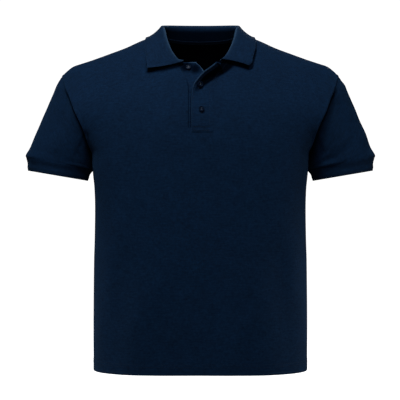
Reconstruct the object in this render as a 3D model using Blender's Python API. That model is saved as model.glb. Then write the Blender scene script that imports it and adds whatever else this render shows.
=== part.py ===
"""Short-sleeved polo shirt, filled out as if worn, with nobody in it.

Metres, +Z up. The front faces -Y, and +X is the wearer's left. The origin is where the wearer carries
the shirt: on its middle plane, level with the inner ends of the shoulder seams.
"""

import math

import bpy
import numpy as np

# Cloth, in metres: a pique knit body, with a ribbed collar and ribbed cuffs.
BODY_THICKNESS = 0.0016
RIB_THICKNESS = 0.0020
PLACKET_THICKNESS = 0.0018
TAPE_THICKNESS = 0.0010
SEAM_GAP = 0.0003
# Two walls share a mitre at their seam when the cosine between their directions is above MITRE_ALL, and
# each keeps its own when it is below MITRE_NONE.
MITRE_ALL = 0.1
MITRE_NONE = -0.2
# How far the outside of each placket stands out from the front panel's, with some clearance.
PLACKET_CLEARANCE = 0.0006
PLACKET_LEVEL = {"upper": PLACKET_CLEARANCE + PLACKET_THICKNESS, "under": -PLACKET_CLEARANCE - BODY_THICKNESS}

# Heights.
HEM_Z = -0.7383
UNDERARM_Z = -0.268
WINDOW_BOTTOM_Z = -0.2185
PLACKET_BOTTOM_Z = -0.2275

# The line of the shoulder seams lies this far behind the origin.
RIDGE_Y = 0.008
# Below the shoulder line the front and back reach their full depth over these heights.
SHOULDER_DROP = {"front": 0.225, "back": 0.180}
SHOULDER_ROUNDNESS = 1.5
# The chest's surface is the mean over these steps of height, with these shares, once it has fallen far enough
# below the shoulder line and except at its sides, so that the shoulder's slope runs out softly.
CHEST_STEP = 0.028
CHEST_SHARES = ((-2, 0.08), (-1, 0.24), (0, 0.36), (1, 0.24), (2, 0.08))
CHEST_EASED_FROM, CHEST_EASED_BY = 0.40, 0.80

# Points tried along a curve before it is divided evenly.
CURVE_SAMPLES = 1000
# Grid of each panel: cells along the neckline, the shoulder seam, the armhole and the side seam.
NECK_CELLS = 8
SHOULDER_CELLS = 9
# Cells along the shoulder seam grow shorter towards its end, where it turns down over the shoulder.
SHOULDER_GRADING = 1.35
ARMHOLE_CELLS = 14
SIDE_CELLS = 11
# Cells between the underarm and the foot of the placket window, on the columns beside it.
BELOW_WINDOW_CELLS = 2
SLEEVE_CELLS = 10
CUFF_CELLS = 3

# Horizontal sections of the torso. A section is a rounded oblong: front_half and back_half are its half
# widths, front_depth and back_depth its depths from the shoulder line, and power says how square it is.
TORSO_COLUMNS = ("z", "front_half", "back_half", "front_depth", "back_depth", "power")
TORSO = (
    (0.030, 0.335, 0.345, 0.135, 0.118, 2.4),
    (-0.097, 0.340, 0.350, 0.135, 0.120, 2.4),
    (-0.155, 0.356, 0.362, 0.136, 0.122, 2.4),
    (-0.178, 0.350, 0.356, 0.136, 0.122, 2.4),
    (-0.220, 0.296, 0.313, 0.136, 0.121, 2.55),
    (-0.245, 0.262, 0.270, 0.135, 0.119, 2.85),
    (-0.268, 0.2375, 0.2375, 0.134, 0.117, 3.15),
    (-0.308, 0.2352, 0.2352, 0.133, 0.114, 3.20),
    (-0.348, 0.2315, 0.2315, 0.132, 0.111, 3.15),
    (-0.383, 0.2305, 0.2305, 0.131, 0.109, 3.10),
    (-0.454, 0.2315, 0.2315, 0.129, 0.108, 3.00),
    (-0.506, 0.2330, 0.2330, 0.128, 0.110, 3.00),
    (-0.656, 0.2340, 0.2340, 0.127, 0.115, 3.05),
    (-0.7383, 0.2335, 0.2335, 0.127, 0.117, 3.15),
)

# The shoulder line, from the middle of the neck outwards.
SHOULDER_COLUMNS = ("x", "z")
SHOULDER = (
    (0.0000, 0.0140),
    (0.0450, 0.0105),
    (0.0880, -0.0020),
    (0.1050, -0.0095),
    (0.1232, -0.0154),
    (0.1400, -0.0225),
    (0.1640, -0.0336),
    (0.1980, -0.0463),
    (0.2398, -0.0614),
    (0.2630, -0.0690),
    (0.2790, -0.0744),
    (0.2967, -0.0875),
    (0.3060, -0.0985),
)

# Armhole seams, from the shoulder point down to the underarm.
ARMHOLE_COLUMNS = ("z", "front_x", "back_x")
ARMHOLE = (
    (-0.0985, 0.3060, 0.3060),
    (-0.1140, 0.2990, 0.3050),
    (-0.1300, 0.2925, 0.3020),
    (-0.1530, 0.2815, 0.2960),
    (-0.1780, 0.2717, 0.2890),
    (-0.2010, 0.2605, 0.2800),
    (-0.2200, 0.2518, 0.2680),
    (-0.2430, 0.2440, 0.2520),
    (-0.2580, 0.2397, 0.2420),
    (-0.2680, 0.2375, 0.2375),
)

# Neckline seams, from the shoulder seam to the middle.
NECK_HALF = 0.0880
NECK_COLUMNS = ("x", "z")
FRONT_NECK = (
    (NECK_HALF, -0.0020),
    (0.0835, -0.0110),
    (0.0788, -0.0250),
    (0.0718, -0.0440),
    (0.0638, -0.0580),
    (0.0552, -0.0680),
    (0.0475, -0.0732),
    (0.0377, -0.0759),
    (0.0190, -0.0785),
    (0.0000, -0.0795),
)
BACK_NECK = (
    (NECK_HALF, -0.0020),
    (0.0780, -0.0070),
    (0.0600, -0.0105),
    (0.0320, -0.0128),
    (0.0000, -0.0135),
)

# The front opening, bottom to top. left_x and right_x are the panel's edges beside the placket window.
# The upper placket is sewn along right_x. Its free edge is at upper_edge_x, which curls forwards off the
# chest by upper_lift above the fastened buttons, and it begins to curl at upper_bend_x. The under placket
# is sewn along left_x, and its free edge is at under_edge_x.
OPENING_COLUMNS = (
    "z",
    "left_x",
    "right_x",
    "upper_bend_x",
    "upper_edge_x",
    "upper_lift",
    "under_bend_x",
    "under_edge_x",
    "under_lift",
)
OPENING = (
    (-0.2275, -0.0250, 0.0220, 0.0040, -0.0184, 0.0000, -0.0040, 0.0170, 0.0000),
    (-0.1650, -0.0250, 0.0220, 0.0040, -0.0184, 0.0000, -0.0040, 0.0170, 0.0000),
    (-0.1450, -0.0251, 0.0222, 0.0035, -0.0168, 0.0020, -0.0042, 0.0170, 0.0000),
    (-0.1300, -0.0260, 0.0238, 0.0060, -0.0120, 0.0070, -0.0050, 0.0165, 0.0000),
    (-0.1180, -0.0288, 0.0285, 0.0130, -0.0030, 0.0115, -0.0090, 0.0150, 0.0000),
    (-0.1050, -0.0345, 0.0370, 0.0235, 0.0085, 0.0150, -0.0170, 0.0120, 0.0005),
    (-0.0950, -0.0405, 0.0450, 0.0330, 0.0225, 0.0175, -0.0245, 0.0065, 0.0015),
    (-0.0850, -0.0460, 0.0530, 0.0410, 0.0340, 0.0195, -0.0320, -0.0010, 0.0030),
    (-0.0770, -0.0500, 0.0580, 0.0445, 0.0405, 0.0200, -0.0375, -0.0095, 0.0040),
    (-0.0600, -0.0560, 0.0650, 0.0480, 0.0450, 0.0200, -0.0420, -0.0200, 0.0040),
)
PLACKET_LAP = 0.005
# The panel's edges beside the window stand back from the window by this much.
WINDOW_EASE = 0.0010
# The tops of the laps end this far below the neck seam.
PLACKET_BELOW_SEAM = 0.0022
PLACKET_ROWS = 16
PLACKET_GRADING = 1.5
PLACKET_FREE_CELLS = 4
# How late the rows turn to meet the neckline, and how late the flap curls across its width.
PLACKET_NECK_POWER = 12
PLACKET_CURL_POWER = 1.5
UPPER_CORNER = (0.0405, -0.0800)
UNDER_CORNER = (-0.0100, -0.0756)

# The collar at stations round the neck: 0 is the middle of the back, 1 the shoulder seam and 2 the front
# end. fold is the line where the stand turns over, and leaf the outer edge of the fall. bulge is how far
# the fall bows out between them.
COLLAR_COLUMNS = ("station", "fold_x", "fold_y", "fold_z", "leaf_x", "leaf_y", "leaf_z", "bulge")
COLLAR = (
    (0.00, 0.0000, 0.0500, 0.0213, 0.0000, 0.0770, -0.0310, 0.0020),
    (0.35, 0.0330, 0.0460, 0.0208, 0.0440, 0.0735, -0.0300, 0.0010),
    (0.70, 0.0625, 0.0325, 0.0186, 0.0920, 0.0530, -0.0235, -0.0012),
    (1.00, 0.0800, 0.0060, 0.0132, 0.1182, 0.0100, -0.0138, -0.0025),
    (1.19, 0.0766, -0.0260, 0.0018, 0.1198, -0.0140, -0.0203, -0.0015),
    (1.36, 0.0735, -0.0440, -0.0140, 0.1195, -0.0290, -0.0297, 0.0000),
    (1.57, 0.0670, -0.0625, -0.0355, 0.1182, -0.0460, -0.0440, 0.0008),
    (1.72, 0.0597, -0.0735, -0.0520, 0.1160, -0.0590, -0.0577, 0.0012),
    (1.84, 0.0519, -0.0800, -0.0645, 0.1142, -0.0680, -0.0694, 0.0015),
    (1.92, 0.0465, -0.0838, -0.0710, 0.1127, -0.0750, -0.0798, 0.0015),
)
COLLAR_END = {
    -1: (2.00, 0.0367, -0.0850, -0.0725, 0.1119, -0.0815, -0.0892, 0.0015),
    1: (2.00, 0.0428, -0.0875, -0.0742, 0.1086, -0.0805, -0.0875, 0.0015),
}
# Where the front end of the collar is sewn, from the middle, and how far the middle of its short front
# edge hangs below a straight line.
COLLAR_END_X = {-1: 0.0377, 1: 0.0440}
COLLAR_END_DROOP = {-1: 0.0030, 1: -0.0045}
COLLAR_DROOP_FROM = 1.6
FOLD_RADIUS = 0.0022
# The fall keeps this clear of the panels, and as much again of a placket within the margin beside it.
FALL_CLEARANCE = 0.0012
FALL_MARGIN = 0.012
CLEARING_PASSES = 6
CLEARING_STEP = 0.0001
MOST_CLEARING = 0.004
STAND_CELLS = 3
# The end of the stand stands back from the upper placket's flap by this much.
STAND_EASE = 0.0022
FOLD_CELLS = 4
LEAF_CELLS = 6
END_CELLS = 3

# Neck tape, sewn over the seam inside the back of the neck.
# Its rows lie this far below the seam.
TAPE_DEPTHS = (0.0008, 0.0048, 0.0090)
TAPE_CLEARANCE = 0.0006

# Sleeves. The rings round the sleeve's end and the cuff are ovals: the long axis slopes in the XZ plane
# and the short one runs along Y.
RING_COLUMNS = ("x", "z", "half_length", "half_depth", "slope")
SLEEVE_END_RING = (0.3122, -0.2905, 0.0738, 0.0480, math.radians(9.8))
CUFF_HEM_RING = (0.3146, -0.3160, 0.0672, 0.0430, math.radians(9.6))
SLEEVE_Y = 0.012
SLEEVE_BLOUSING = 0.0032
SLEEVE_BLOUSING_AT = 0.93
SLEEVE_BLOUSING_REACH = 0.07
SLEEVE_GIRTH = 0.40
# Rows lie a little closer together towards the cuff, where the cloth arrives partly along the cuff's axis.
SLEEVE_GRADING = 1.15
SLEEVE_END_PULL = 0.90
SLEEVE_END_TURN = 0.25
# Folds and blousing fade out over these shares of the sleeve beside its seams. On the side by the body they
# keep this share of their sideways part.
SLEEVE_SEWN_TOP = 0.12
SLEEVE_SEWN_END = 0.05
SLEEVE_INNER_SHARE = 0.3
# The cuff is drawn in by this much, most of all at this share of its depth.
CUFF_DRAWN_IN = 0.0016
CUFF_DRAWN_AT = 0.36
# How a sleeve leaves the armhole, at stations round it: 0 is the shoulder point, 1 the underarm. out, back
# and down give the direction, and reach how far the cloth keeps to it.
SLEEVE_START_COLUMNS = ("station", "out", "back", "down", "reach")
SLEEVE_FRONT_START = (
    (0.00, 0.60, 0.00, 0.80, 0.075),
    (0.15, 0.50, 0.30, 0.80, 0.090),
    (0.35, 0.30, 0.62, 0.72, 0.115),
    (0.60, 0.22, 0.72, 0.65, 0.110),
    (0.85, 0.01, 0.45, 0.88, 0.070),
    (1.00, 0.02, 0.00, 1.00, 0.040),
)
SLEEVE_BACK_START = (
    (0.00, 0.60, 0.00, 0.80, 0.075),
    (0.15, 0.56, -0.12, 0.80, 0.090),
    (0.35, 0.42, -0.34, 0.80, 0.105),
    (0.60, 0.30, -0.48, 0.82, 0.095),
    (0.85, 0.08, -0.28, 0.95, 0.060),
    (1.00, 0.02, 0.00, 1.00, 0.040),
)

# Soft folds: ridges from (across0, along0) to (across1, along1), so wide and so high. Heights below zero
# are troughs. On the body, across is x and along is z.
FOLD_END_SOFTNESS = 1.6
# Folds fade out over this depth beside the shoulder line and the side seams.
FOLD_EDGE_FADE = 0.050
FOLD_COLUMNS = ("across0", "along0", "across1", "along1", "width", "height")
FRONT_FOLDS = (
    (-0.195, -0.480, -0.222, -0.660, 0.026, 0.0035),
    (-0.165, -0.520, -0.185, -0.700, 0.030, -0.0030),
    (-0.120, -0.600, -0.150, -0.720, 0.034, 0.0025),
    (0.200, -0.470, 0.224, -0.650, 0.026, 0.0038),
    (0.168, -0.500, 0.190, -0.690, 0.030, -0.0032),
    (0.105, -0.560, 0.135, -0.720, 0.036, 0.0024),
    (-0.205, -0.300, -0.175, -0.420, 0.030, 0.0026),
    (0.207, -0.300, 0.172, -0.430, 0.030, 0.0028),
    (0.015, -0.560, -0.010, -0.730, 0.050, -0.0026),
    (0.205, -0.205, 0.145, -0.300, 0.028, -0.0022),
    (-0.222, -0.200, -0.155, -0.290, 0.028, -0.0020),
)
BACK_FOLDS = (
    (-0.180, -0.460, -0.205, -0.700, 0.034, 0.0040),
    (-0.110, -0.500, -0.120, -0.730, 0.040, -0.0040),
    (-0.035, -0.440, -0.045, -0.730, 0.045, 0.0035),
    (0.050, -0.470, 0.058, -0.730, 0.042, -0.0038),
    (0.120, -0.430, 0.140, -0.720, 0.040, 0.0040),
    (0.190, -0.480, 0.210, -0.690, 0.030, -0.0030),
    (0.215, -0.200, 0.130, -0.300, 0.032, -0.0034),
    (-0.218, -0.205, -0.125, -0.310, 0.032, -0.0034),
    (-0.100, -0.090, -0.150, -0.230, 0.040, 0.0020),
    (0.105, -0.090, 0.150, -0.225, 0.040, 0.0020),
)
# Soft folds of the sleeves. Here across is 0 over the shoulder, 0.25 at the front, 0.5 at the underarm and
# 0.75 behind, and along runs from 0 at the armhole to 1 at the cuff. Widths are in metres.
SLEEVE_FOLDS = {
    1: (
        (0.06, 0.16, 0.20, 0.62, 0.030, 0.0030),
        (0.02, 0.22, 0.07, 0.70, 0.028, 0.0030),
        (0.12, 0.30, 0.19, 0.85, 0.034, -0.0030),
        (0.05, 0.74, 0.27, 0.93, 0.026, 0.0032),
        (0.08, 0.62, 0.30, 0.80, 0.026, -0.0026),
        (0.85, 0.20, 0.72, 0.75, 0.040, 0.0032),
        (0.93, 0.30, 0.86, 0.90, 0.036, -0.0028),
    ),
    -1: (
        (0.08, 0.20, 0.17, 0.70, 0.036, 0.0022),
        (0.15, 0.45, 0.24, 0.90, 0.034, -0.0024),
        (0.06, 0.80, 0.24, 0.92, 0.026, 0.0020),
        (0.86, 0.20, 0.75, 0.80, 0.040, 0.0032),
        (0.94, 0.35, 0.88, 0.90, 0.036, -0.0028),
    ),
}

# Buttons: turned discs with a raised rim. The two lower ones are fastened, and the top one is undone.
BUTTON_RADIUS = 0.0058
BUTTON_HEIGHT = 0.0026
BUTTON_SIDES = 20
BUTTON_CLEARANCE = 0.0004
BUTTON_SEATING = 0.7
# From the middle of its face round to the middle of its back, as shares of its radius and height.
BUTTON_PROFILE = (
    (0.00, 0.62),
    (0.62, 0.62),
    (0.74, 1.00),
    (0.90, 1.00),
    (1.00, 0.72),
    (1.00, 0.28),
    (0.90, 0.00),
    (0.00, 0.00),
)
# Each lies on the "upper" or the "under" placket, at this x and z.
BUTTONS = {
    "button_top": ("under", -0.0252, -0.0885),
    "button_middle": ("upper", -0.0010, -0.1258),
    "button_bottom": ("upper", 0.0022, -0.1793),
}

# Edges that turn more than this are shaded sharp.
SHARP_ANGLE = math.radians(50)
# Finishes: colour, roughness and metallic value.
NAVY_PIQUE = ("navy_pique", (0.006, 0.013, 0.030), 0.92, 0.0)
NAVY_RIB = ("navy_rib", (0.006, 0.012, 0.027), 0.90, 0.0)
NAVY_TAPE = ("navy_tape", (0.008, 0.014, 0.028), 0.85, 0.0)
NAVY_BUTTON = ("navy_button", (0.010, 0.016, 0.036), 0.30, 0.0)


# ---------------------------------------------------------------- curves and tables


def column(table, columns, name):
    return np.array([row[columns.index(name)] for row in table], float)


def smooth(at, knots, values):
    """The values at places between a table's knots, on a curve that has no corners and no overshoot."""
    knots, values = np.asarray(knots, float), np.asarray(values, float)
    if knots[0] > knots[-1]:
        knots, values = knots[::-1], values[::-1]
    at = np.clip(np.asarray(at, float), knots[0], knots[-1])
    step = np.diff(knots)
    rise = np.diff(values) / step
    slope = np.empty(len(knots))
    slope[0], slope[-1] = rise[0], rise[-1]
    before, after = rise[:-1], rise[1:]
    same_way = before * after > 0
    mean = 2 * before * after / np.where(same_way, before + after, 1)
    slope[1:-1] = np.where(same_way, mean, 0)
    cell = np.clip(np.searchsorted(knots, at) - 1, 0, len(step) - 1)
    t = (at - knots[cell]) / step[cell]
    start, end = values[cell], values[cell + 1]
    start_pull, end_pull = slope[cell] * step[cell], slope[cell + 1] * step[cell]
    return (
        start * (1 + 2 * t) * (1 - t) ** 2
        + start_pull * t * (1 - t) ** 2
        + end * t**2 * (3 - 2 * t)
        + end_pull * t**2 * (t - 1)
    )


def looked_up(table, columns, key, at):
    """Every other column of a table, as a dictionary, at places along its key column."""
    knots = column(table, columns, key)
    return {name: smooth(at, knots, column(table, columns, name)) for name in columns if name != key}


def unit(vectors):
    length = np.linalg.norm(vectors, axis=-1, keepdims=True)
    return vectors / np.maximum(length, 1e-12)


def evenly(points, cells):
    """The curve through these points again, as cells + 1 points spaced evenly along it."""
    run = np.concatenate([[0], np.cumsum(np.linalg.norm(np.diff(points, axis=0), axis=1))])
    at = np.linspace(0, run[-1], cells + 1)
    return np.stack([np.interp(at, run, points[:, axis]) for axis in range(points.shape[1])], axis=1)


# ---------------------------------------------------------------- the torso's surface


def shoulder_height(x):
    return smooth(np.abs(x), column(SHOULDER, SHOULDER_COLUMNS, "x"), column(SHOULDER, SHOULDER_COLUMNS, "z"))


def section_y(x, z, panel):
    """How far forward or back a section of the torso lies at (x, z), on the panel "front" or "back"."""
    size = looked_up(TORSO, TORSO_COLUMNS, "z", z)
    fall = np.clip((shoulder_height(x) - z) / SHOULDER_DROP[panel], 0, 1)
    over_shoulder = (1 - (1 - fall) ** SHOULDER_ROUNDNESS) ** (1 / SHOULDER_ROUNDNESS)
    across = np.clip(np.abs(x) / size[panel + "_half"], 0, 1)
    round_side = (1 - across ** size["power"]) ** (1 / size["power"])
    depth = size[panel + "_depth"] * over_shoulder * round_side
    return RIDGE_Y + (depth if panel == "back" else -depth)


def torso_y(x, z, panel):
    """How far forward or back the torso's outer surface lies at (x, z), on the panel "front" or "back"."""
    fall = (shoulder_height(x) - z) / SHOULDER_DROP[panel]
    share = np.clip((fall - CHEST_EASED_FROM) / (CHEST_EASED_BY - CHEST_EASED_FROM), 0, 1)
    half = looked_up(TORSO, TORSO_COLUMNS, "z", z)[panel + "_half"]
    inwards = 1 - np.clip(np.abs(x) / half, 0, 1) ** 6
    step = CHEST_STEP * share * share * (3 - 2 * share) * inwards
    return sum(part * section_y(x, z + count * step, panel) for count, part in CHEST_SHARES)


def torso_excess(points):
    """Zero on the torso's outer surface, above zero outside it and below zero inside."""
    x, y, z = np.moveaxis(points, -1, 0)
    size = looked_up(TORSO, TORSO_COLUMNS, "z", z)
    behind = y > RIDGE_Y
    half = np.where(behind, size["back_half"], size["front_half"])
    depth = np.where(behind, size["back_depth"], size["front_depth"])
    drop = np.where(behind, SHOULDER_DROP["back"], SHOULDER_DROP["front"])
    across = np.clip(np.abs(x) / half, 0, 1)
    round_side = (1 - across ** size["power"]) ** (1 / size["power"])
    outwards = np.abs(y - RIDGE_Y) / (depth * round_side)
    upwards = np.maximum(z - shoulder_height(x) + drop, 0) / drop
    return outwards**SHOULDER_ROUNDNESS + upwards**SHOULDER_ROUNDNESS - 1


def clear_of_torso(points, clearance):
    """The points again, moved straight out from the torso where they are nearer to it than the clearance."""
    points = np.array(points, float)
    for _ in range(CLEARING_PASSES):
        excess = torso_excess(points)
        ahead = [torso_excess(points + CLEARING_STEP * axis) - excess for axis in np.eye(3)]
        slope = np.stack(ahead, axis=-1) / CLEARING_STEP
        steepness = np.maximum(np.linalg.norm(slope, axis=-1, keepdims=True), 1e-9)
        short = clearance[..., None] - excess[..., None] / steepness
        points += np.clip(short, 0, MOST_CLEARING) * slope / steepness
    return points


def fold_height(across, along, folds):
    """How far cloth stands out at (across, along) over a table of soft straight folds."""
    height = np.zeros(np.shape(across))
    for row in folds:
        fold = dict(zip(FOLD_COLUMNS, row))
        run = np.array([fold["across1"] - fold["across0"], fold["along1"] - fold["along0"]])
        length = np.hypot(*run)
        run = run / length
        right, up = across - fold["across0"], along - fold["along0"]
        ahead = right * run[0] + up * run[1]
        aside = (right * run[1] - up * run[0]) / fold["width"]
        beyond = np.maximum(np.abs(ahead - length / 2) - length / 2, 0) / (FOLD_END_SOFTNESS * fold["width"])
        height = height + fold["height"] * np.exp(-(aside**2) - beyond**2)
    return height


def torso_points(x, z, panel):
    folds = FRONT_FOLDS if panel == "front" else BACK_FOLDS
    y = torso_y(x, z, panel)
    outwards = 1 if panel == "back" else -1
    clear_of_edges = np.clip(np.abs(y - RIDGE_Y) / FOLD_EDGE_FADE, 0, 1) ** 2
    return np.stack([x, y + outwards * fold_height(x, z, folds) * clear_of_edges, z], axis=-1)


# ---------------------------------------------------------------- panel outlines


def armhole_curve(panel):
    """Points of an armhole seam from the shoulder point to the underarm, evenly spaced, on +X."""
    z = np.linspace(ARMHOLE[0][0], ARMHOLE[-1][0], CURVE_SAMPLES)
    x = looked_up(ARMHOLE, ARMHOLE_COLUMNS, "z", z)[panel + "_x"]
    fine = np.stack([x, torso_y(x, z, panel), z], axis=1)
    return evenly(fine, ARMHOLE_CELLS)


def neck_curve(panel, start_x, end_x, cells):
    """Points of a neckline from start_x to end_x, evenly spaced along the seam, on +X."""
    table = FRONT_NECK if panel == "front" else BACK_NECK
    knots = np.linspace(0, 1, len(table))

    def coordinate(name, at):
        return smooth(at, knots, column(table, NECK_COLUMNS, name))

    whole = np.linspace(0, 1, CURVE_SAMPLES)
    first, last = np.interp([-start_x, -end_x], -coordinate("x", whole), whole)
    fine = np.linspace(first, last, CURVE_SAMPLES)
    x, z = coordinate("x", fine), coordinate("z", fine)
    return evenly(np.stack([x, torso_y(x, z, panel), z], axis=1), cells)


def opening_x(side, z):
    """The edge of the front panel beside the placket window, on side -1 or 1."""
    found = looked_up(OPENING, OPENING_COLUMNS, "z", z)
    return found["left_x"] if side < 0 else found["right_x"]


def window_corner_x(side):
    """Where the edge of the placket window meets the neckline, as a distance from the middle."""
    neck = neck_curve("front", NECK_HALF, 0.0, CURVE_SAMPLES)
    beyond = neck[:, 0] - np.abs(opening_x(side, neck[:, 2]))
    return neck[np.argmax(beyond < 0), 0]


def half_panel(panel, side):
    """Outer points of half a panel, as rows from the hem up and columns from the middle outwards."""
    if panel == "front":
        top = neck_curve("front", NECK_HALF, window_corner_x(side), NECK_CELLS)[::-1, [0, 2]]
    else:
        top = neck_curve("back", NECK_HALF, 0.0, NECK_CELLS)[::-1, [0, 2]]
    outwards = 1 - (1 - np.linspace(0, 1, SHOULDER_CELLS + 1)[1:]) ** SHOULDER_GRADING
    shoulder_x = top[-1, 0] + (SHOULDER[-1][0] - top[-1, 0]) * outwards
    top = np.concatenate([top, np.stack([shoulder_x, shoulder_height(shoulder_x)], axis=1)])
    columns = NECK_CELLS + SHOULDER_CELLS

    rows_up = np.arange(ARMHOLE_CELLS + 1)
    if panel == "front":
        knots = (0, BELOW_WINDOW_CELLS, ARMHOLE_CELLS)
        inner_z = np.interp(rows_up, knots, (UNDERARM_Z, WINDOW_BOTTOM_Z, top[0, 1]))
        inner_x = np.abs(opening_x(side, inner_z))
        inner_x[-1] = top[0, 0]
    else:
        inner_z = np.linspace(UNDERARM_Z, top[0, 1], ARMHOLE_CELLS + 1)
        inner_x = np.zeros(ARMHOLE_CELLS + 1)
    inner = np.stack([inner_x, inner_z], axis=1)
    outer = armhole_curve(panel)[::-1][:, [0, 2]]

    def section_row(z):
        size = looked_up(TORSO, TORSO_COLUMNS, "z", np.array([z]))
        half, power = size[panel + "_half"][0], size["power"][0]
        first = math.asin((inner_x[0] / half) ** (power / 2))
        turn = np.linspace(first, math.pi / 2, columns + 1)
        return half * np.sin(turn) ** (2 / power)

    low = []
    for z in np.linspace(HEM_Z, UNDERARM_Z, SIDE_CELLS + 1)[:-1]:
        low.append(torso_points(side * section_row(z), np.full(columns + 1, z), panel))

    bottom = np.stack([section_row(UNDERARM_Z), np.full(columns + 1, UNDERARM_Z)], axis=1)
    u = np.linspace(0, 1, columns + 1)[:, None]
    high = []
    for row in rows_up:
        v = row / ARMHOLE_CELLS
        across = (1 - v) * bottom + v * top
        from_inner = inner[row] - ((1 - v) * bottom[0] + v * top[0])
        from_outer = outer[row] - ((1 - v) * bottom[-1] + v * top[-1])
        place = across + (1 - u) * from_inner + u * from_outer
        high.append(torso_points(side * place[:, 0], place[:, 1], panel))
        high[-1][-1] = armhole_curve(panel)[::-1][row] * np.array([side, 1, 1])
    return np.array(low + high)


# ---------------------------------------------------------------- cloth walls


class Sheet:
    """A grid of outer points, with the cells that are cloth, and the direction of the wall's thickness."""

    def __init__(self, points, closed=False, missing=None, thickness=BODY_THICKNESS, flip=False):
        self.points = np.array(points, float)
        rows, columns = self.points.shape[:2]
        self.closed = closed
        self.flip = flip
        self.thickness = thickness
        last = columns if closed else columns - 1
        self.cells = [
            (row, column_, row + 1, (column_ + 1) % columns)
            for row in range(rows - 1)
            for column_ in range(last)
            if missing is None or not missing(row, column_)
        ]
        self.normals = self.measured_normals()

    def measured_normals(self):
        """The outward direction at every point, from the cells round it."""
        p = self.points
        normals = np.zeros_like(p)
        for r0, c0, r1, c1 in self.cells:
            across = p[r1, c1] - p[r0, c0]
            over = p[r1, c0] - p[r0, c1]
            facing = np.cross(across, over)
            if self.flip:
                facing = -facing
            for place in ((r0, c0), (r0, c1), (r1, c0), (r1, c1)):
                normals[place] += facing
        return unit(normals)

    def trim(self, edge, towards, by=SEAM_GAP / 2):
        """Draws an edge of the sheet back from its seam, towards the points next to it."""
        self.points[edge] += by * unit(self.points[towards] - self.points[edge])

    def build(self, name, finish):
        outer = self.points
        inner = outer - self.thickness * self.normals
        return wall_object(name, outer, inner, self.cells, self.flip, finish)


def share_normals(sheets):
    """Gives sheets that meet along a seam one direction of thickness there, so that their walls are mitred.

    Where they double back on each other each keeps its own, because their walls then part by themselves.
    """
    places = {}
    for sheet in sheets:
        for place in np.ndindex(sheet.points.shape[:2]):
            key = tuple(np.round(sheet.points[place] / SEAM_GAP).astype(int))
            places.setdefault(key, []).append((sheet, place))
    for meeting in places.values():
        normals = np.array([sheet.normals[place] for sheet, place in meeting])
        agree = np.clip((normals @ normals.T - MITRE_NONE) / (MITRE_ALL - MITRE_NONE), 0, 1)
        for (sheet, place), shared in zip(meeting, unit(agree @ normals)):
            sheet.normals[place] = shared


def finish_material(finish):
    name, colour, roughness, metallic = finish
    found = bpy.data.materials.get(name)
    if found:
        return found
    made = bpy.data.materials.new(name)
    made.use_nodes = True
    shader = made.node_tree.nodes["Principled BSDF"]
    shader.inputs["Base Color"].default_value = (*colour, 1)
    shader.inputs["Roughness"].default_value = roughness
    shader.inputs["Metallic"].default_value = metallic
    return made


def mesh_object(name, points, faces, finish):
    mesh = bpy.data.meshes.new(name)
    mesh.from_pydata([tuple(p) for p in points], [], faces)
    mesh.validate()
    mesh.materials.append(finish_material(finish))
    mesh.shade_smooth()
    mesh.set_sharp_from_angle(angle=SHARP_ANGLE)
    made = bpy.data.objects.new(name, mesh)
    bpy.context.scene.collection.objects.link(made)
    return made


def wall_object(name, outer, inner, cells, flip, finish):
    """A closed solid between two grids of points, with a rim wherever the cloth has an edge."""
    used = sorted({corner for r0, c0, r1, c1 in cells for corner in ((r0, c0), (r0, c1), (r1, c0), (r1, c1))})
    index = {place: n for n, place in enumerate(used)}
    count = len(used)
    points = [outer[place] for place in used] + [inner[place] for place in used]
    faces, edges = [], {}
    for r0, c0, r1, c1 in cells:
        ring = [index[(r0, c0)], index[(r0, c1)], index[(r1, c1)], index[(r1, c0)]]
        if flip:
            ring.reverse()
        faces.append(tuple(ring))
        faces.append(tuple(count + n for n in reversed(ring)))
        for start, end in zip(ring, ring[1:] + ring[:1]):
            edges[(start, end)] = edges.get((start, end), 0) + 1
    for start, end in edges:
        if (end, start) not in edges:
            faces.append((end, start, count + start, count + end))
    return mesh_object(name, points, faces, finish)


# ---------------------------------------------------------------- the pieces


def front_sheet():
    left, right = half_panel("front", -1), half_panel("front", 1)
    rows, columns = left.shape[:2]
    middle = (left[:, 0] + right[:, 0]) / 2
    middle[:, 1] = torso_points(middle[:, 0], middle[:, 2], "front")[:, 1]
    points = np.concatenate([left[:, ::-1], middle[:, None], right], axis=1)
    window_row = SIDE_CELLS + BELOW_WINDOW_CELLS

    def missing(row, column_):
        return row >= window_row and column_ in (columns - 1, columns)

    return Sheet(points, missing=missing)


def back_sheet():
    left, right = half_panel("back", -1), half_panel("back", 1)
    points = np.concatenate([left[:, :0:-1], right], axis=1)
    return Sheet(points, flip=True)


def ring_points(ring, side, turn):
    """Points of an oval ring. turn is 0 at its outer end, 0.25 at the front and 0.5 at the body."""
    size = dict(zip(RING_COLUMNS, ring))
    angle = 2 * math.pi * turn
    along = size["half_length"] * np.cos(angle)
    x = side * (size["x"] + along * math.cos(size["slope"]))
    y = SLEEVE_Y - size["half_depth"] * np.sin(angle)
    z = size["z"] + along * math.sin(size["slope"])
    return np.stack([x, y, z], axis=-1)


def ring_axis(ring, side):
    slope = dict(zip(RING_COLUMNS, ring))["slope"]
    return np.array([side * math.sin(slope), 0.0, -math.cos(slope)])


def armhole_loop(side):
    """The whole armhole, from the shoulder point down the front to the underarm and up the back."""
    front, back = armhole_curve("front"), armhole_curve("back")
    loop = np.concatenate([front, back[-2:0:-1]])
    return loop * np.array([side, 1, 1])


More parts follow.
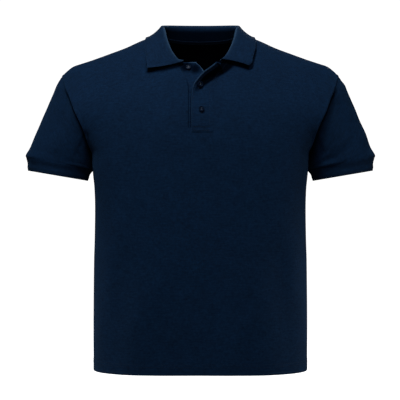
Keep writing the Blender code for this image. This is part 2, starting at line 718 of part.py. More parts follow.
def sleeve_starts(side):
    station = np.linspace(0, 1, ARMHOLE_CELLS + 1)
    found = {}
    for name in ("out", "back", "down", "reach"):
        front = looked_up(SLEEVE_FRONT_START, SLEEVE_START_COLUMNS, "station", station)[name]
        back = looked_up(SLEEVE_BACK_START, SLEEVE_START_COLUMNS, "station", station)[name]
        found[name] = np.concatenate([front, back[-2:0:-1]])
    way = unit(np.stack([side * found["out"], found["back"], -found["down"]], axis=1))
    return way * found["reach"][:, None]


def sleeve_sheet(side):
    loop = armhole_loop(side)
    turn = np.arange(len(loop)) / len(loop)
    end = ring_points(SLEEVE_END_RING, side, turn)
    run = np.linalg.norm(end - loop, axis=1)[:, None]
    start_pull = sleeve_starts(side)
    straight, turned = unit(end - loop), ring_axis(SLEEVE_END_RING, side)
    arriving = unit((1 - SLEEVE_END_TURN) * straight + SLEEVE_END_TURN * turned)
    end_pull = SLEEVE_END_PULL * run * arriving
    middle = np.array([side * SLEEVE_END_RING[0], SLEEVE_Y, 0])
    folds = scaled_folds(side)
    rows = []
    for row in range(SLEEVE_CELLS + 1):
        t = 1 - (1 - row / SLEEVE_CELLS) ** SLEEVE_GRADING
        ring = (
            loop * (1 + 2 * t) * (1 - t) ** 2
            + start_pull * t * (1 - t) ** 2
            + end * t**2 * (3 - 2 * t)
            + end_pull * t**2 * (t - 1)
        )
        away = unit((ring - middle) * np.array([1, 1, 0]))
        away[:, 0] *= np.where(side * (ring[:, 0] - middle[0]) < 0, SLEEVE_INNER_SHARE, 1)
        sewn = min(1.0, t / SLEEVE_SEWN_TOP, (1 - t) / SLEEVE_SEWN_END)
        puff = SLEEVE_BLOUSING * math.exp(-(((t - SLEEVE_BLOUSING_AT) / SLEEVE_BLOUSING_REACH) ** 2))
        lift = sewn * (puff + fold_height(turn, np.full(len(turn), t), folds))
        rows.append(ring + away * lift[:, None])
    return Sheet(rows, closed=True, flip=side < 0)


def scaled_folds(side):
    """A sleeve's folds, with widths as shares of its girth instead of metres."""
    return [(*place, width / SLEEVE_GIRTH, height) for *place, width, height in SLEEVE_FOLDS[side]]


def cuff_sheet(side):
    turn = np.arange(2 * ARMHOLE_CELLS) / (2 * ARMHOLE_CELLS)
    top = ring_points(SLEEVE_END_RING, side, turn)
    bottom = ring_points(CUFF_HEM_RING, side, turn)
    rows = []
    for row in range(CUFF_CELLS + 1):
        t = row / CUFF_CELLS
        drawn_in = CUFF_DRAWN_IN * math.sin(math.pi * min(1.0, t / (2 * CUFF_DRAWN_AT)))
        ring = top + (bottom - top) * t
        away = unit(ring - ring.mean(axis=0))
        rows.append(ring - away * drawn_in)
    return Sheet(rows, closed=True, flip=side < 0, thickness=RIB_THICKNESS)


def neck_stations(side):
    """Stations of the collar from the shoulder seam to its front end, with the points of the neckline."""
    corner = window_corner_x(side)
    sewn = neck_curve("front", NECK_HALF, corner, NECK_CELLS)
    last = neck_curve("front", corner, COLLAR_END_X[side], END_CELLS)
    place = np.concatenate([sewn, last[1:]])
    run = np.concatenate([[0], np.cumsum(np.linalg.norm(np.diff(place, axis=0), axis=1))])
    return 1 + run / run[-1], place


def collar_side(side, placket):
    """For one side, from the middle of the back to the front end: the neck seam, fold and leaf edge."""
    turned = np.array([side, 1, 1])
    back = neck_curve("back", NECK_HALF, 0.0, NECK_CELLS)[::-1]
    station, front = neck_stations(side)
    stations = np.concatenate([np.arange(NECK_CELLS) / NECK_CELLS, station])
    back_seam = torso_points(side * back[:-1, 0], back[:-1, 2], "back")
    front_seam = torso_points(side * front[:, 0], front[:, 2], "front")
    front_seam[NECK_CELLS + 1 :] = placket.points[-1, 2 : END_CELLS + 2]
    size = looked_up(COLLAR + (COLLAR_END[side],), COLLAR_COLUMNS, "station", stations)
    fold = np.stack([size["fold_x"], size["fold_y"], size["fold_z"]], axis=1) * turned
    leaf = np.stack([size["leaf_x"], size["leaf_y"], size["leaf_z"]], axis=1) * turned
    late = np.clip((stations - COLLAR_DROOP_FROM) / (2 - COLLAR_DROOP_FROM), 0, 1)
    droop = COLLAR_END_DROOP[side] * late**2
    return np.concatenate([back_seam, front_seam]), fold, leaf, size["bulge"], droop


def collar_profile(seam, fold, leaf, bulge, droop, outwards):
    """The collar's hidden side at one station: up the back of the stand, round the fold, under the fall."""
    up = unit(fold - seam)
    out = unit(outwards - up * (outwards @ up))
    height = np.linalg.norm(fold - seam)
    radius = min(FOLD_RADIUS, 0.5 * (height - RIB_THICKNESS))
    top = fold - (radius + RIB_THICKNESS) * up
    stand = [seam + (top - seam) * n / STAND_CELLS for n in range(STAND_CELLS)]
    centre = top + radius * out
    chord = leaf - centre
    last = math.atan2(chord @ out, chord @ up) - math.atan2(4 * bulge, np.linalg.norm(chord))
    turn = [last * n / FOLD_CELLS for n in range(FOLD_CELLS + 1)]
    over = [centre + radius * (-math.cos(a) * out + math.sin(a) * up) for a in turn]
    start = over[-1]
    raised = unit(outwards - unit(chord) * (outwards @ unit(chord)))
    fall = []
    for n in range(1, LEAF_CELLS + 1):
        t = n / LEAF_CELLS
        arch = 4 * t * (1 - t)
        fall.append(start + (leaf - start) * t + arch * (bulge * raised - np.array([0, 0, droop])))
    return stand, over + fall


def clear_of_panels(points, side):
    """The turned-over part of a collar's half, moved out where it would touch a panel or a placket."""
    x, z = side * points[..., 0], points[..., 2]
    lap = np.abs(opening_x(side, z)) + PLACKET_LAP + FALL_MARGIN
    over_placket = np.clip((lap - x) / FALL_MARGIN, 0, 1) * (points[..., 1] < RIDGE_Y)
    clearance = FALL_CLEARANCE + over_placket * max(PLACKET_LEVEL["upper" if side > 0 else "under"], 0)
    return clear_of_torso(points, clearance)


def collar_sheet(plackets):
    """The collar's grid: rows run from the neck seam to the edge of the fall, columns round the neck."""
    left, right = collar_side(-1, plackets["under"]), collar_side(1, plackets["upper"])
    seam, fold, leaf, bulge, droop = (np.concatenate([a[:0:-1], b]) for a, b in zip(left, right))
    outwards = unit(np.cross(np.gradient(fold, axis=0), leaf - fold))
    profiles = [collar_profile(*station) for station in zip(seam, fold, leaf, bulge, droop, outwards)]
    stand = np.array([profile[0] for profile in profiles])
    turned = np.array([profile[1] for profile in profiles])
    middle = len(left[0]) - 1
    turned = np.concatenate([clear_of_panels(turned[:middle], -1), clear_of_panels(turned[middle:], 1)])
    points = np.concatenate([stand, turned], axis=1)
    return Sheet(points.transpose(1, 0, 2), thickness=RIB_THICKNESS, flip=True)


def placket_columns(which, z):
    """The x of each of a placket's columns, from its sewn edge to its free one, at as many heights."""
    at = looked_up(OPENING, OPENING_COLUMNS, "z", z)
    sewn = at["right_x" if which == "upper" else "left_x"]
    bend, edge = at[which + "_bend_x"], at[which + "_edge_x"]
    attached = np.clip(np.arange(len(z)) / END_CELLS, 0, 1)
    free = np.clip((np.arange(len(z)) - END_CELLS) / PLACKET_FREE_CELLS, 0, 1)
    return sewn + (bend - sewn) * attached + (edge - bend) * free


def placket_sheet(which):
    """A placket's grid: rows run up to the neckline, columns from the sewn edge's lap to the free edge."""
    side = 1 if which == "upper" else -1
    corner = np.array(UPPER_CORNER if which == "upper" else UNDER_CORNER)
    _, neck = neck_stations(side)
    neck = neck[NECK_CELLS:, [0, 2]] * np.array([side, 1])
    free = np.linspace(0, 1, PLACKET_FREE_CELLS + 1)[1:, None]
    top = np.concatenate([neck, neck[-1] + free * (corner - neck[-1])])
    to_neck = top[:, 0] - placket_columns(which, top[:, 1])
    rows, lifts = [], []
    for row in range(PLACKET_ROWS + 1):
        v = 1 - (1 - row / PLACKET_ROWS) ** PLACKET_GRADING
        z = PLACKET_BOTTOM_Z + (top[:, 1] - PLACKET_BOTTOM_Z) * v
        x = placket_columns(which, z) + to_neck * v**PLACKET_NECK_POWER
        x = np.concatenate([[x[0] + side * PLACKET_LAP], x])
        z = np.concatenate([[z[0]], z])
        rows.append(torso_points(x, z, "front"))
        curl = np.concatenate([np.zeros(END_CELLS + 2), free[:, 0] ** PLACKET_CURL_POWER])
        lifts.append(curl * looked_up(OPENING, OPENING_COLUMNS, "z", z)[which + "_lift"])
    sheet = Sheet(rows, thickness=PLACKET_THICKNESS, flip=which == "upper")
    sheet.points += PLACKET_LEVEL[which] * sheet.normals
    sheet.points[..., 1] -= np.array(lifts)
    sheet.trim((-1, slice(0, 2)), (-2, slice(0, 2)), PLACKET_BELOW_SEAM)
    sheet.normals = sheet.measured_normals()
    return sheet


def tape_sheet(back):
    """The neck tape: it lies inside the back of the neck, on the inner face of the back panel."""
    middle = back.points.shape[1] // 2
    reach = NECK_CELLS - 1
    lines = []
    for column_ in range(middle - reach, middle + reach + 1):
        outer, facing = back.points[::-1, column_], back.normals[::-1, column_]
        inner = outer - back.thickness * facing
        run = np.concatenate([[0], np.cumsum(np.linalg.norm(np.diff(inner, axis=0), axis=1))])
        place = np.stack([np.interp(TAPE_DEPTHS, run, inner[:, axis]) for axis in range(3)], axis=1)
        out = unit(np.stack([np.interp(TAPE_DEPTHS, run, facing[:, axis]) for axis in range(3)], axis=1))
        lines.append(place - TAPE_CLEARANCE * out)
    return Sheet(np.array(lines).transpose(1, 0, 2)[::-1], thickness=TAPE_THICKNESS, flip=True)


def place_on(sheet, x, z):
    """The point of a sheet at (x, z), and the direction it faces there, from the nearest of its cells."""
    corners = sheet.points[:-1, :-1] + sheet.points[1:, :-1] + sheet.points[:-1, 1:] + sheet.points[1:, 1:]
    centres = corners / 4
    away = np.hypot(centres[..., 0] - x, centres[..., 2] - z)
    row, column_ = np.unravel_index(np.argmin(away), away.shape)
    centre = centres[row, column_]
    facing = unit(sheet.normals[row : row + 2, column_ : column_ + 2].sum(axis=(0, 1)))
    slope = facing[0] * (x - centre[0]) + facing[2] * (z - centre[2])
    return np.array([x, centre[1] - slope / facing[1], z]), facing


def button(name, sheet, x, z):
    """A turned disc, laid on a placket at (x, z), clear of the cloth that rises round it."""
    centre, facing = place_on(sheet, x, z)
    around = sheet.points.reshape(-1, 3) - centre
    near = np.linalg.norm(around, axis=1) < 2 * BUTTON_RADIUS
    highest = max(0.0, (around[near] @ facing).max(initial=0.0))
    base = centre + (BUTTON_CLEARANCE + BUTTON_SEATING * highest) * facing
    across = unit(np.cross(facing, [0.0, 0.0, 1.0]))
    upright = np.cross(across, facing)
    points, faces = [], []
    for radius, height in BUTTON_PROFILE:
        middle = base + facing * height * BUTTON_HEIGHT
        for n in range(BUTTON_SIDES if radius else 1):
            turn = 2 * math.pi * n / BUTTON_SIDES
            rim = BUTTON_RADIUS * radius * (math.cos(turn) * across + math.sin(turn) * upright)
            points.append(middle + rim)
    last = len(points) - 1
    rings = len(BUTTON_PROFILE) - 2
    for n in range(BUTTON_SIDES):
        after = (n + 1) % BUTTON_SIDES
        faces.append((0, 1 + after, 1 + n))
        for start in range(1, 1 + (rings - 1) * BUTTON_SIDES, BUTTON_SIDES):
            faces.append((start + n, start + after, start + BUTTON_SIDES + after, start + BUTTON_SIDES + n))
        start = 1 + (rings - 1) * BUTTON_SIDES
        faces.append((start + n, start + after, last))
    return mesh_object(name, points, faces, NAVY_BUTTON)


def build():
    front, back = front_sheet(), back_sheet()
    sleeves = {side: sleeve_sheet(side) for side in (-1, 1)}
    cuffs = {side: cuff_sheet(side) for side in (-1, 1)}
    plackets = {which: placket_sheet(which) for which in ("upper", "under")}
    collar = collar_sheet(plackets)
    share_normals([front, back, collar, *sleeves.values(), *cuffs.values(), *plackets.values()])
    tape = tape_sheet(back)

    every = slice(None)
    for sheet in (front, back):
        sheet.trim((every, 0), (every, 1))
        sheet.trim((every, -1), (every, -2))
        sheet.trim((-1, every), (-2, every))
    window, edge = slice(SIDE_CELLS + BELOW_WINDOW_CELLS, None), NECK_CELLS + SHOULDER_CELLS
    front.trim((window, edge), (window, edge - 1), WINDOW_EASE)
    front.trim((window, edge + 2), (window, edge + 3), WINDOW_EASE)
    for side in (-1, 1):
        sleeves[side].trim((0, every), (1, every))
        sleeves[side].trim((-1, every), (-2, every))
        cuffs[side].trim((0, every), (1, every))
    for sheet in plackets.values():
        sheet.trim((-1, every), (-2, every))
    collar.trim((0, every), (1, every))
    stand = slice(0, STAND_CELLS)
    collar.trim((stand, -1), (stand, -2), STAND_EASE)

    front.build("front", NAVY_PIQUE)
    back.build("back", NAVY_PIQUE)
    for side, word in ((-1, "right"), (1, "left")):
        sleeves[side].build("sleeve_" + word, NAVY_PIQUE)
        cuffs[side].build("cuff_" + word, NAVY_RIB)
    collar.build("collar", NAVY_RIB)
    for which in plackets:
        plackets[which].build("placket_" + which, NAVY_PIQUE)
    tape.build("neck_tape", NAVY_TAPE)
    for name, (which, x, z) in BUTTONS.items():
        button(name, plackets[which], x, z)


for found in list(bpy.data.objects):
    bpy.data.objects.remove(found)
build()
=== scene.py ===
"""Looks of a short-sleeved polo shirt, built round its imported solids.

Metres, +Z up. The front faces -Y, and +X is the wearer's left. Every piece of cloth is a thin closed wall
laid where its solid lies, with finer folds, seams, stitching and a knitted finish.
"""

import math

import bpy
import numpy as np
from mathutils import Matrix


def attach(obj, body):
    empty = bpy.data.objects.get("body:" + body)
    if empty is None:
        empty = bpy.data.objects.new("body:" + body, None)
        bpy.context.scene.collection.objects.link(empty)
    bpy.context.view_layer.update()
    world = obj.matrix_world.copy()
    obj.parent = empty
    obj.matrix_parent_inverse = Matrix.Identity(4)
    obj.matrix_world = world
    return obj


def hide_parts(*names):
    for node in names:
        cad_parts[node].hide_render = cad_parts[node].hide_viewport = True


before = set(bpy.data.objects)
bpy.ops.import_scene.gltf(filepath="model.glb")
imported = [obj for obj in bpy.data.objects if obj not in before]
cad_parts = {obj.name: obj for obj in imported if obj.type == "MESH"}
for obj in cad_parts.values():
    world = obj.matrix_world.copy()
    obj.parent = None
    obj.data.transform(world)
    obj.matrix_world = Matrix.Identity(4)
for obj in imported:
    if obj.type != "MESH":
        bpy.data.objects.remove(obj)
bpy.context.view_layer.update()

bl_info = {
    "name": "Polo Shirt Looks",
    "version": (1, 0, 0),
    "blender": (4, 5, 0),
    "location": "View3D > Sidebar > Polo Shirt",
    "description": "Builds the cloth, stitching, buttons and stage of a polo shirt",
    "category": "Add Mesh",
}

# Cloth thicknesses, the space within which points of two sheets count as one seam, and how far the edges
# there are moved back from it. Below zero they reach a little over it.
BODY_THICKNESS = 0.0016
RIB_THICKNESS = 0.0020
PLACKET_THICKNESS = 0.0018
TAPE_THICKNESS = 0.0010
SEAM_GAP = 0.0003
SEAM_TRIM = -0.00005
# Two walls share a mitre at their seam when the cosine between their directions is above MITRE_ALL, and
# each keeps its own when it is below MITRE_NONE.
MITRE_ALL = 0.1
MITRE_NONE = -0.2
# How far the outside of each placket stands out from the front panel's, with some clearance.
PLACKET_CLEARANCE = 0.0006
PLACKET_LEVEL = {"upper": PLACKET_CLEARANCE + PLACKET_THICKNESS, "under": -PLACKET_CLEARANCE - BODY_THICKNESS}

# Heights.
HEM_Z = -0.7383
UNDERARM_Z = -0.268
WINDOW_BOTTOM_Z = -0.2185
PLACKET_BOTTOM_Z = -0.2275

# The shoulder line lies at this y, and the torso reaches its full depth this far below it.
RIDGE_Y = 0.008
SHOULDER_DROP = {"front": 0.225, "back": 0.180}
SHOULDER_ROUNDNESS = 1.5
# The chest's surface is the mean over these steps of height, with these shares, once it has fallen far enough
# below the shoulder line and except at its sides, so that the shoulder's slope runs out softly.
CHEST_STEP = 0.028
CHEST_SHARES = ((-2, 0.08), (-1, 0.24), (0, 0.36), (1, 0.24), (2, 0.08))
CHEST_EASED_FROM, CHEST_EASED_BY = 0.40, 0.80

# Cells of each grid of cloth. A grading above 1 makes the last ones smaller.
CURVE_SAMPLES = 1600
NECK_CELLS = 40
SHOULDER_CELLS = 45
SHOULDER_GRADING = 1.35
ARMHOLE_CELLS = 70
SIDE_CELLS = 66
BELOW_WINDOW_CELLS = 10
SLEEVE_CELLS = 56
CUFF_CELLS = 14
STAND_CELLS = 10
FOLD_CELLS = 10
LEAF_CELLS = 26
END_CELLS = 12
PLACKET_ROWS = 80
PLACKET_FREE_CELLS = 16
TAPE_CELLS = 8
RIM_CELLS = 4

# Horizontal sections of the torso. A section is a rounded oblong: front_half and back_half are its half
# widths, front_depth and back_depth its depths from the shoulder line, and power says how square it is.
TORSO_COLUMNS = ("z", "front_half", "back_half", "front_depth", "back_depth", "power")
TORSO = (
    (0.03, 0.335, 0.345, 0.135, 0.118, 2.4), (-0.097, 0.34, 0.35, 0.135, 0.12, 2.4),
    (-0.155, 0.356, 0.362, 0.136, 0.122, 2.4), (-0.178, 0.35, 0.356, 0.136, 0.122, 2.4),
    (-0.22, 0.296, 0.313, 0.136, 0.121, 2.55), (-0.245, 0.262, 0.27, 0.135, 0.119, 2.85),
    (-0.268, 0.2375, 0.2375, 0.134, 0.117, 3.15), (-0.308, 0.2352, 0.2352, 0.133, 0.114, 3.2),
    (-0.348, 0.2315, 0.2315, 0.132, 0.111, 3.15), (-0.383, 0.2305, 0.2305, 0.131, 0.109, 3.1),
    (-0.454, 0.2315, 0.2315, 0.129, 0.108, 3.0), (-0.506, 0.233, 0.233, 0.128, 0.11, 3.0),
    (-0.656, 0.234, 0.234, 0.127, 0.115, 3.05), (-0.7383, 0.2335, 0.2335, 0.127, 0.117, 3.15),
)

# The shoulder line, from the middle of the neck outwards.
SHOULDER_COLUMNS = ("x", "z")
SHOULDER = (
    (0.0, 0.014), (0.045, 0.0105), (0.088, -0.002), (0.105, -0.0095), (0.1232, -0.0154), (0.14, -0.0225),
    (0.164, -0.0336), (0.198, -0.0463), (0.2398, -0.0614), (0.263, -0.069), (0.279, -0.0744),
    (0.2967, -0.0875), (0.306, -0.0985),
)

# Armhole seams, from the shoulder point down to the underarm.
ARMHOLE_COLUMNS = ("z", "front_x", "back_x")
ARMHOLE = (
    (-0.0985, 0.306, 0.306), (-0.114, 0.299, 0.305), (-0.13, 0.2925, 0.302), (-0.153, 0.2815, 0.296),
    (-0.178, 0.2717, 0.289), (-0.201, 0.2605, 0.28), (-0.22, 0.2518, 0.268), (-0.243, 0.244, 0.252),
    (-0.258, 0.2397, 0.242), (-0.268, 0.2375, 0.2375),
)

# Neckline seams, from the shoulder seam to the middle.
NECK_HALF = 0.0880
NECK_COLUMNS = ("x", "z")
NECK = {
    "front": (
        (NECK_HALF, -0.002), (0.0835, -0.011), (0.0788, -0.025), (0.0718, -0.044), (0.0638, -0.058),
        (0.0552, -0.068), (0.0475, -0.0732), (0.0377, -0.0759), (0.019, -0.0785), (0.0, -0.0795),
    ),
    "back": ((NECK_HALF, -0.002), (0.078, -0.007), (0.06, -0.0105), (0.032, -0.0128), (0.0, -0.0135)),
}

# The front opening, bottom to top. left_x and right_x are the panel's edges beside the placket window.
# The upper placket is sewn along right_x. Its free edge is at upper_edge_x, which curls forwards off the
# chest by upper_lift above the fastened buttons, and it begins to curl at upper_bend_x. The under placket
# is sewn along left_x, and its free edge is at under_edge_x.
OPENING_COLUMNS = (
    "z", "left_x", "right_x", "upper_bend_x", "upper_edge_x", "upper_lift", "under_bend_x", "under_edge_x",
    "under_lift",
)
OPENING = (
    (-0.2275, -0.025, 0.022, 0.004, -0.0184, 0.0, -0.004, 0.017, 0.0),
    (-0.165, -0.025, 0.022, 0.004, -0.0184, 0.0, -0.004, 0.017, 0.0),
    (-0.145, -0.0251, 0.0222, 0.0035, -0.0168, 0.002, -0.0042, 0.017, 0.0),
    (-0.13, -0.026, 0.0238, 0.006, -0.012, 0.007, -0.005, 0.0165, 0.0),
    (-0.118, -0.0288, 0.0285, 0.013, -0.003, 0.0115, -0.009, 0.015, 0.0),
    (-0.105, -0.0345, 0.037, 0.0235, 0.0085, 0.015, -0.017, 0.012, 0.0005),
    (-0.095, -0.0405, 0.045, 0.033, 0.0225, 0.0175, -0.0245, 0.0065, 0.0015),
    (-0.085, -0.046, 0.053, 0.041, 0.034, 0.0195, -0.032, -0.001, 0.003),
    (-0.077, -0.05, 0.058, 0.0445, 0.0405, 0.02, -0.0375, -0.0095, 0.004),
    (-0.06, -0.056, 0.065, 0.048, 0.045, 0.02, -0.042, -0.02, 0.004),
)
PLACKET_LAP = 0.005
# The panel's edges beside the window stand back from the window by this much.
WINDOW_EASE = 0.0010
# The tops of the laps end this far below the neck seam, as far as this column of the placket, and what stands
# beside a drawn back edge makes room within this reach.
PLACKET_BELOW_SEAM, LAP_COLUMNS = 0.0022, 6
MAKE_ROOM = 0.012
WINDOW_ROOM = 0.010
PLACKET_GRADING = 1.5
# How late the rows turn to meet the neckline, and how late the flap curls across its width.
PLACKET_NECK_POWER = 12
PLACKET_CURL_POWER = 1.5
UPPER_CORNER = (0.0405, -0.0800)
UNDER_CORNER = (-0.0100, -0.0756)

# The collar at stations round the neck: 0 is the middle of the back, 1 the shoulder seam and 2 the front
# end. fold is the line where the stand turns over, and leaf the outer edge of the fall. bulge is how far
# the fall bows out between them.
COLLAR_COLUMNS = ("station", "fold_x", "fold_y", "fold_z", "leaf_x", "leaf_y", "leaf_z", "bulge")
COLLAR = (
    (0.0, 0.0, 0.05, 0.0213, 0.0, 0.077, -0.031, 0.002),
    (0.35, 0.033, 0.046, 0.0208, 0.044, 0.0735, -0.03, 0.001),
    (0.7, 0.0625, 0.0325, 0.0186, 0.092, 0.053, -0.0235, -0.0012),
    (1.0, 0.08, 0.006, 0.0132, 0.1182, 0.01, -0.0138, -0.0025),
    (1.19, 0.0766, -0.026, 0.0018, 0.1198, -0.014, -0.0203, -0.0015),
    (1.36, 0.0735, -0.044, -0.014, 0.1195, -0.029, -0.0297, 0.0),
    (1.57, 0.067, -0.0625, -0.0355, 0.1182, -0.046, -0.044, 0.0008),
    (1.72, 0.0597, -0.0735, -0.052, 0.116, -0.059, -0.0577, 0.0012),
    (1.84, 0.0519, -0.08, -0.0645, 0.1142, -0.068, -0.0694, 0.0015),
    (1.92, 0.0465, -0.0838, -0.071, 0.1127, -0.075, -0.0798, 0.0015),
)
COLLAR_END = {
    -1: (2.0, 0.0367, -0.085, -0.0725, 0.1135, -0.0815, -0.0885, 0.0015),
    1: (2.0, 0.0428, -0.0875, -0.0742, 0.1066, -0.0805, -0.0868, 0.0015),
}
# Where the front end of the collar is sewn, from the middle, and how far the middle of its short front
# edge hangs below a straight line.
COLLAR_END_X = {-1: 0.0377, 1: 0.0440}
COLLAR_END_DROOP = {-1: 0.0025, 1: -0.0010}
COLLAR_DROOP_FROM = 1.6
# How far the corner of each leaf is moved, growing between these stations.
LEAF_TRIM_STATIONS = (1.45, 1.95)
LEAF_TRIM = {-1: (0.0, 0.0, 0.0), 1: (-0.0035, 0.0, 0.0038)}
FOLD_RADIUS = 0.0022
# The fall keeps this clear of the panels, and of a placket that stands out from them, with a margin.
FALL_CLEARANCE = 0.0012
FALL_MARGIN = 0.012
CLEARING_PASSES = 6
CLEARING_STEP = 0.0001
MOST_CLEARING = 0.004
# The end of the stand stands back from the upper placket's flap by this much.
STAND_EASE = 0.0022

# Neck tape, sewn over the seam inside the back of the neck. It starts and ends this far below the seam, and
# reaches this share of the way to the shoulder seams.
TAPE_DEPTHS = (0.0008, 0.0090)
TAPE_REACH = 7 / 8
TAPE_CLEARANCE = 0.0006

# Sleeves. The rings round the sleeve's end and the cuff are ovals: the long axis slopes in the XZ plane
# and the short one runs along Y.
RING_COLUMNS = ("x", "z", "half_length", "half_depth", "slope")
SLEEVE_END_RING = (0.3122, -0.2905, 0.0738, 0.0480, math.radians(9.8))
CUFF_HEM_RING = (0.3146, -0.3160, 0.0672, 0.0430, math.radians(9.6))
SLEEVE_Y = 0.012
# The cloth blouses by this much at this share of the sleeve's length, within this reach. At the front and the
# back of the sleeve only the least share of that is left.
SLEEVE_BLOUSING, SLEEVE_BLOUSING_LEAST = 0.0036, 0.08
SLEEVE_BLOUSING_AT, SLEEVE_BLOUSING_REACH = 0.955, 0.06
SLEEVE_GIRTH, SLEEVE_LENGTH = 0.40, 0.20
# Rows lie a little closer together towards the cuff, where the cloth arrives partly along the cuff's axis.
SLEEVE_GRADING = 1.15
SLEEVE_END_PULL = 0.90
SLEEVE_END_TURN = 0.25
# Folds and blousing fade out over these shares of the sleeve beside its seams. On the side by the body they
# keep this share of their sideways part.
SLEEVE_SEWN_TOP = 0.12
SLEEVE_SEWN_END = 0.03
SLEEVE_INNER_SHARE = 0.3
# Beside the body the sleeve's end and the cuff's top lean in by this much, between these depths.
LEAN = 0.0046
LEAN_FROM, LEAN_TO = (0.262, 0.285), (0.303, 0.320)
# The cuff is drawn in by this much, most of all at this share of its depth.
CUFF_DRAWN_IN = 0.0016
CUFF_DRAWN_AT = 0.36
# How a sleeve leaves the armhole, at stations round it: 0 is the shoulder point, 1 the underarm. out, back
# and down give the direction, and reach how far the cloth keeps to it.
SLEEVE_START_COLUMNS = ("station", "out", "back", "down", "reach")
SLEEVE_START = {
    "front": (
        (0.0, 0.6, 0.0, 0.8, 0.075), (0.15, 0.5, 0.3, 0.8, 0.09), (0.35, 0.3, 0.62, 0.72, 0.115),
        (0.6, 0.22, 0.72, 0.65, 0.11), (0.85, 0.05, 0.58, 0.82, 0.08), (1.0, 0.02, 0.0, 1.0, 0.04),
    ),
    "back": (
        (0.0, 0.6, 0.0, 0.8, 0.075), (0.15, 0.56, -0.12, 0.8, 0.09), (0.35, 0.42, -0.34, 0.8, 0.105),
        (0.6, 0.3, -0.48, 0.82, 0.095), (0.85, 0.08, -0.28, 0.95, 0.06), (1.0, 0.02, 0.0, 1.0, 0.04),
    ),
}

# Soft folds: ridges from (across0, along0) to (across1, along1), so wide and so high. Heights below zero
# are troughs. On the body, across is x and along is z.
FOLD_END_SOFTNESS = 1.6
# Folds fade out over this depth beside the shoulder line and the side seams.
FOLD_EDGE_FADE = 0.050
FOLDS = {
    "front": (
        (-0.195, -0.48, -0.222, -0.66, 0.026, 0.0035), (-0.165, -0.52, -0.185, -0.7, 0.03, -0.003),
        (-0.12, -0.6, -0.15, -0.72, 0.034, 0.0025), (0.2, -0.47, 0.224, -0.65, 0.026, 0.0038),
        (0.168, -0.5, 0.19, -0.69, 0.03, -0.0032), (0.105, -0.56, 0.135, -0.72, 0.036, 0.0024),
        (-0.205, -0.3, -0.175, -0.42, 0.03, 0.0022), (0.207, -0.3, 0.172, -0.43, 0.03, 0.0024),
        (0.015, -0.56, -0.01, -0.73, 0.05, -0.0026), (0.185, -0.235, 0.145, -0.3, 0.034, -0.001),
        (-0.19, -0.235, -0.155, -0.29, 0.034, -0.0008),
    ),
    "back": (
        (-0.18, -0.46, -0.205, -0.7, 0.034, 0.004), (-0.11, -0.5, -0.12, -0.73, 0.04, -0.004),
        (-0.035, -0.44, -0.045, -0.73, 0.045, 0.0035), (0.05, -0.47, 0.058, -0.73, 0.042, -0.0038),
        (0.12, -0.43, 0.14, -0.72, 0.04, 0.004), (0.19, -0.48, 0.21, -0.69, 0.03, -0.003),
        (0.215, -0.2, 0.13, -0.3, 0.032, -0.0034), (-0.218, -0.205, -0.125, -0.31, 0.032, -0.0034),
        (-0.1, -0.09, -0.15, -0.23, 0.04, 0.002), (0.105, -0.09, 0.15, -0.225, 0.04, 0.002),
    ),
}
# Soft folds of the sleeves. Here across is 0 over the shoulder, 0.25 at the front, 0.5 at the underarm and
# 0.75 behind, and along runs from 0 at the armhole to 1 at the cuff. Widths are in metres.
SLEEVE_FOLDS = {
    1: (
        (0.06, 0.16, 0.2, 0.62, 0.03, 0.003), (0.02, 0.22, 0.07, 0.7, 0.028, 0.003),
        (0.12, 0.3, 0.19, 0.85, 0.034, -0.003), (0.05, 0.74, 0.27, 0.93, 0.026, 0.0014),
        (0.08, 0.62, 0.3, 0.8, 0.026, -0.0012), (0.85, 0.2, 0.72, 0.75, 0.04, 0.0032),
        (0.93, 0.3, 0.86, 0.9, 0.036, -0.0028),
    ),
    -1: (
        (0.08, 0.2, 0.17, 0.7, 0.036, 0.0022), (0.15, 0.45, 0.24, 0.9, 0.034, -0.0024),
        (0.06, 0.8, 0.24, 0.92, 0.026, 0.0006), (0.86, 0.2, 0.75, 0.8, 0.04, 0.0032),
        (0.94, 0.35, 0.88, 0.9, 0.036, -0.0028),
    ),
}

# Finer creases of the cloth, laid over the soft folds above and listed in the same way.
CREASES = {
    "front": (
        (-0.214, -0.52, -0.2, -0.64, 0.012, -0.0012), (0.216, -0.5, 0.203, -0.64, 0.012, -0.0012),
        (-0.14, -0.64, -0.1, -0.56, 0.018, 0.001), (0.09, -0.65, 0.14, -0.59, 0.018, 0.001),
        (-0.19, -0.25, -0.13, -0.275, 0.014, -0.0004), (0.19, -0.248, 0.14, -0.28, 0.014, -0.0004),
    ),
    "back": (
        (-0.15, -0.56, -0.13, -0.7, 0.016, 0.001), (0.01, -0.52, 0.004, -0.7, 0.018, 0.001),
        (0.155, -0.54, 0.165, -0.69, 0.016, -0.001), (0.19, -0.24, 0.12, -0.275, 0.014, -0.0012),
        (-0.192, -0.24, -0.118, -0.285, 0.014, -0.0012),
    ),
}
SLEEVE_CREASES = {
    1: (
        (0.04, 0.1, 0.1, 0.45, 0.01, 0.001), (0.12, 0.2, 0.16, 0.5, 0.012, -0.001),
        (0.1, 0.86, 0.3, 0.95, 0.01, 0.0004),
    ),
    -1: ((0.1, 0.15, 0.15, 0.5, 0.012, 0.0008), (0.1, 0.88, 0.28, 0.95, 0.01, 0.0003)),
}
# Slight unevenness of hanging cloth: waves of this length, direction and start, so high in all. Each is bent
# this strongly by a wave across it that is this many times as long.
RIPPLES = ((0.110, 0.30, 0.4), (0.071, 2.20, 1.9), (0.047, 1.15, 4.1), (0.033, 0.75, 2.6))
RIPPLE_HEIGHT = 0.0005
RIPPLE_BEND, RIPPLE_BEND_WAVE = 0.9, 2.3

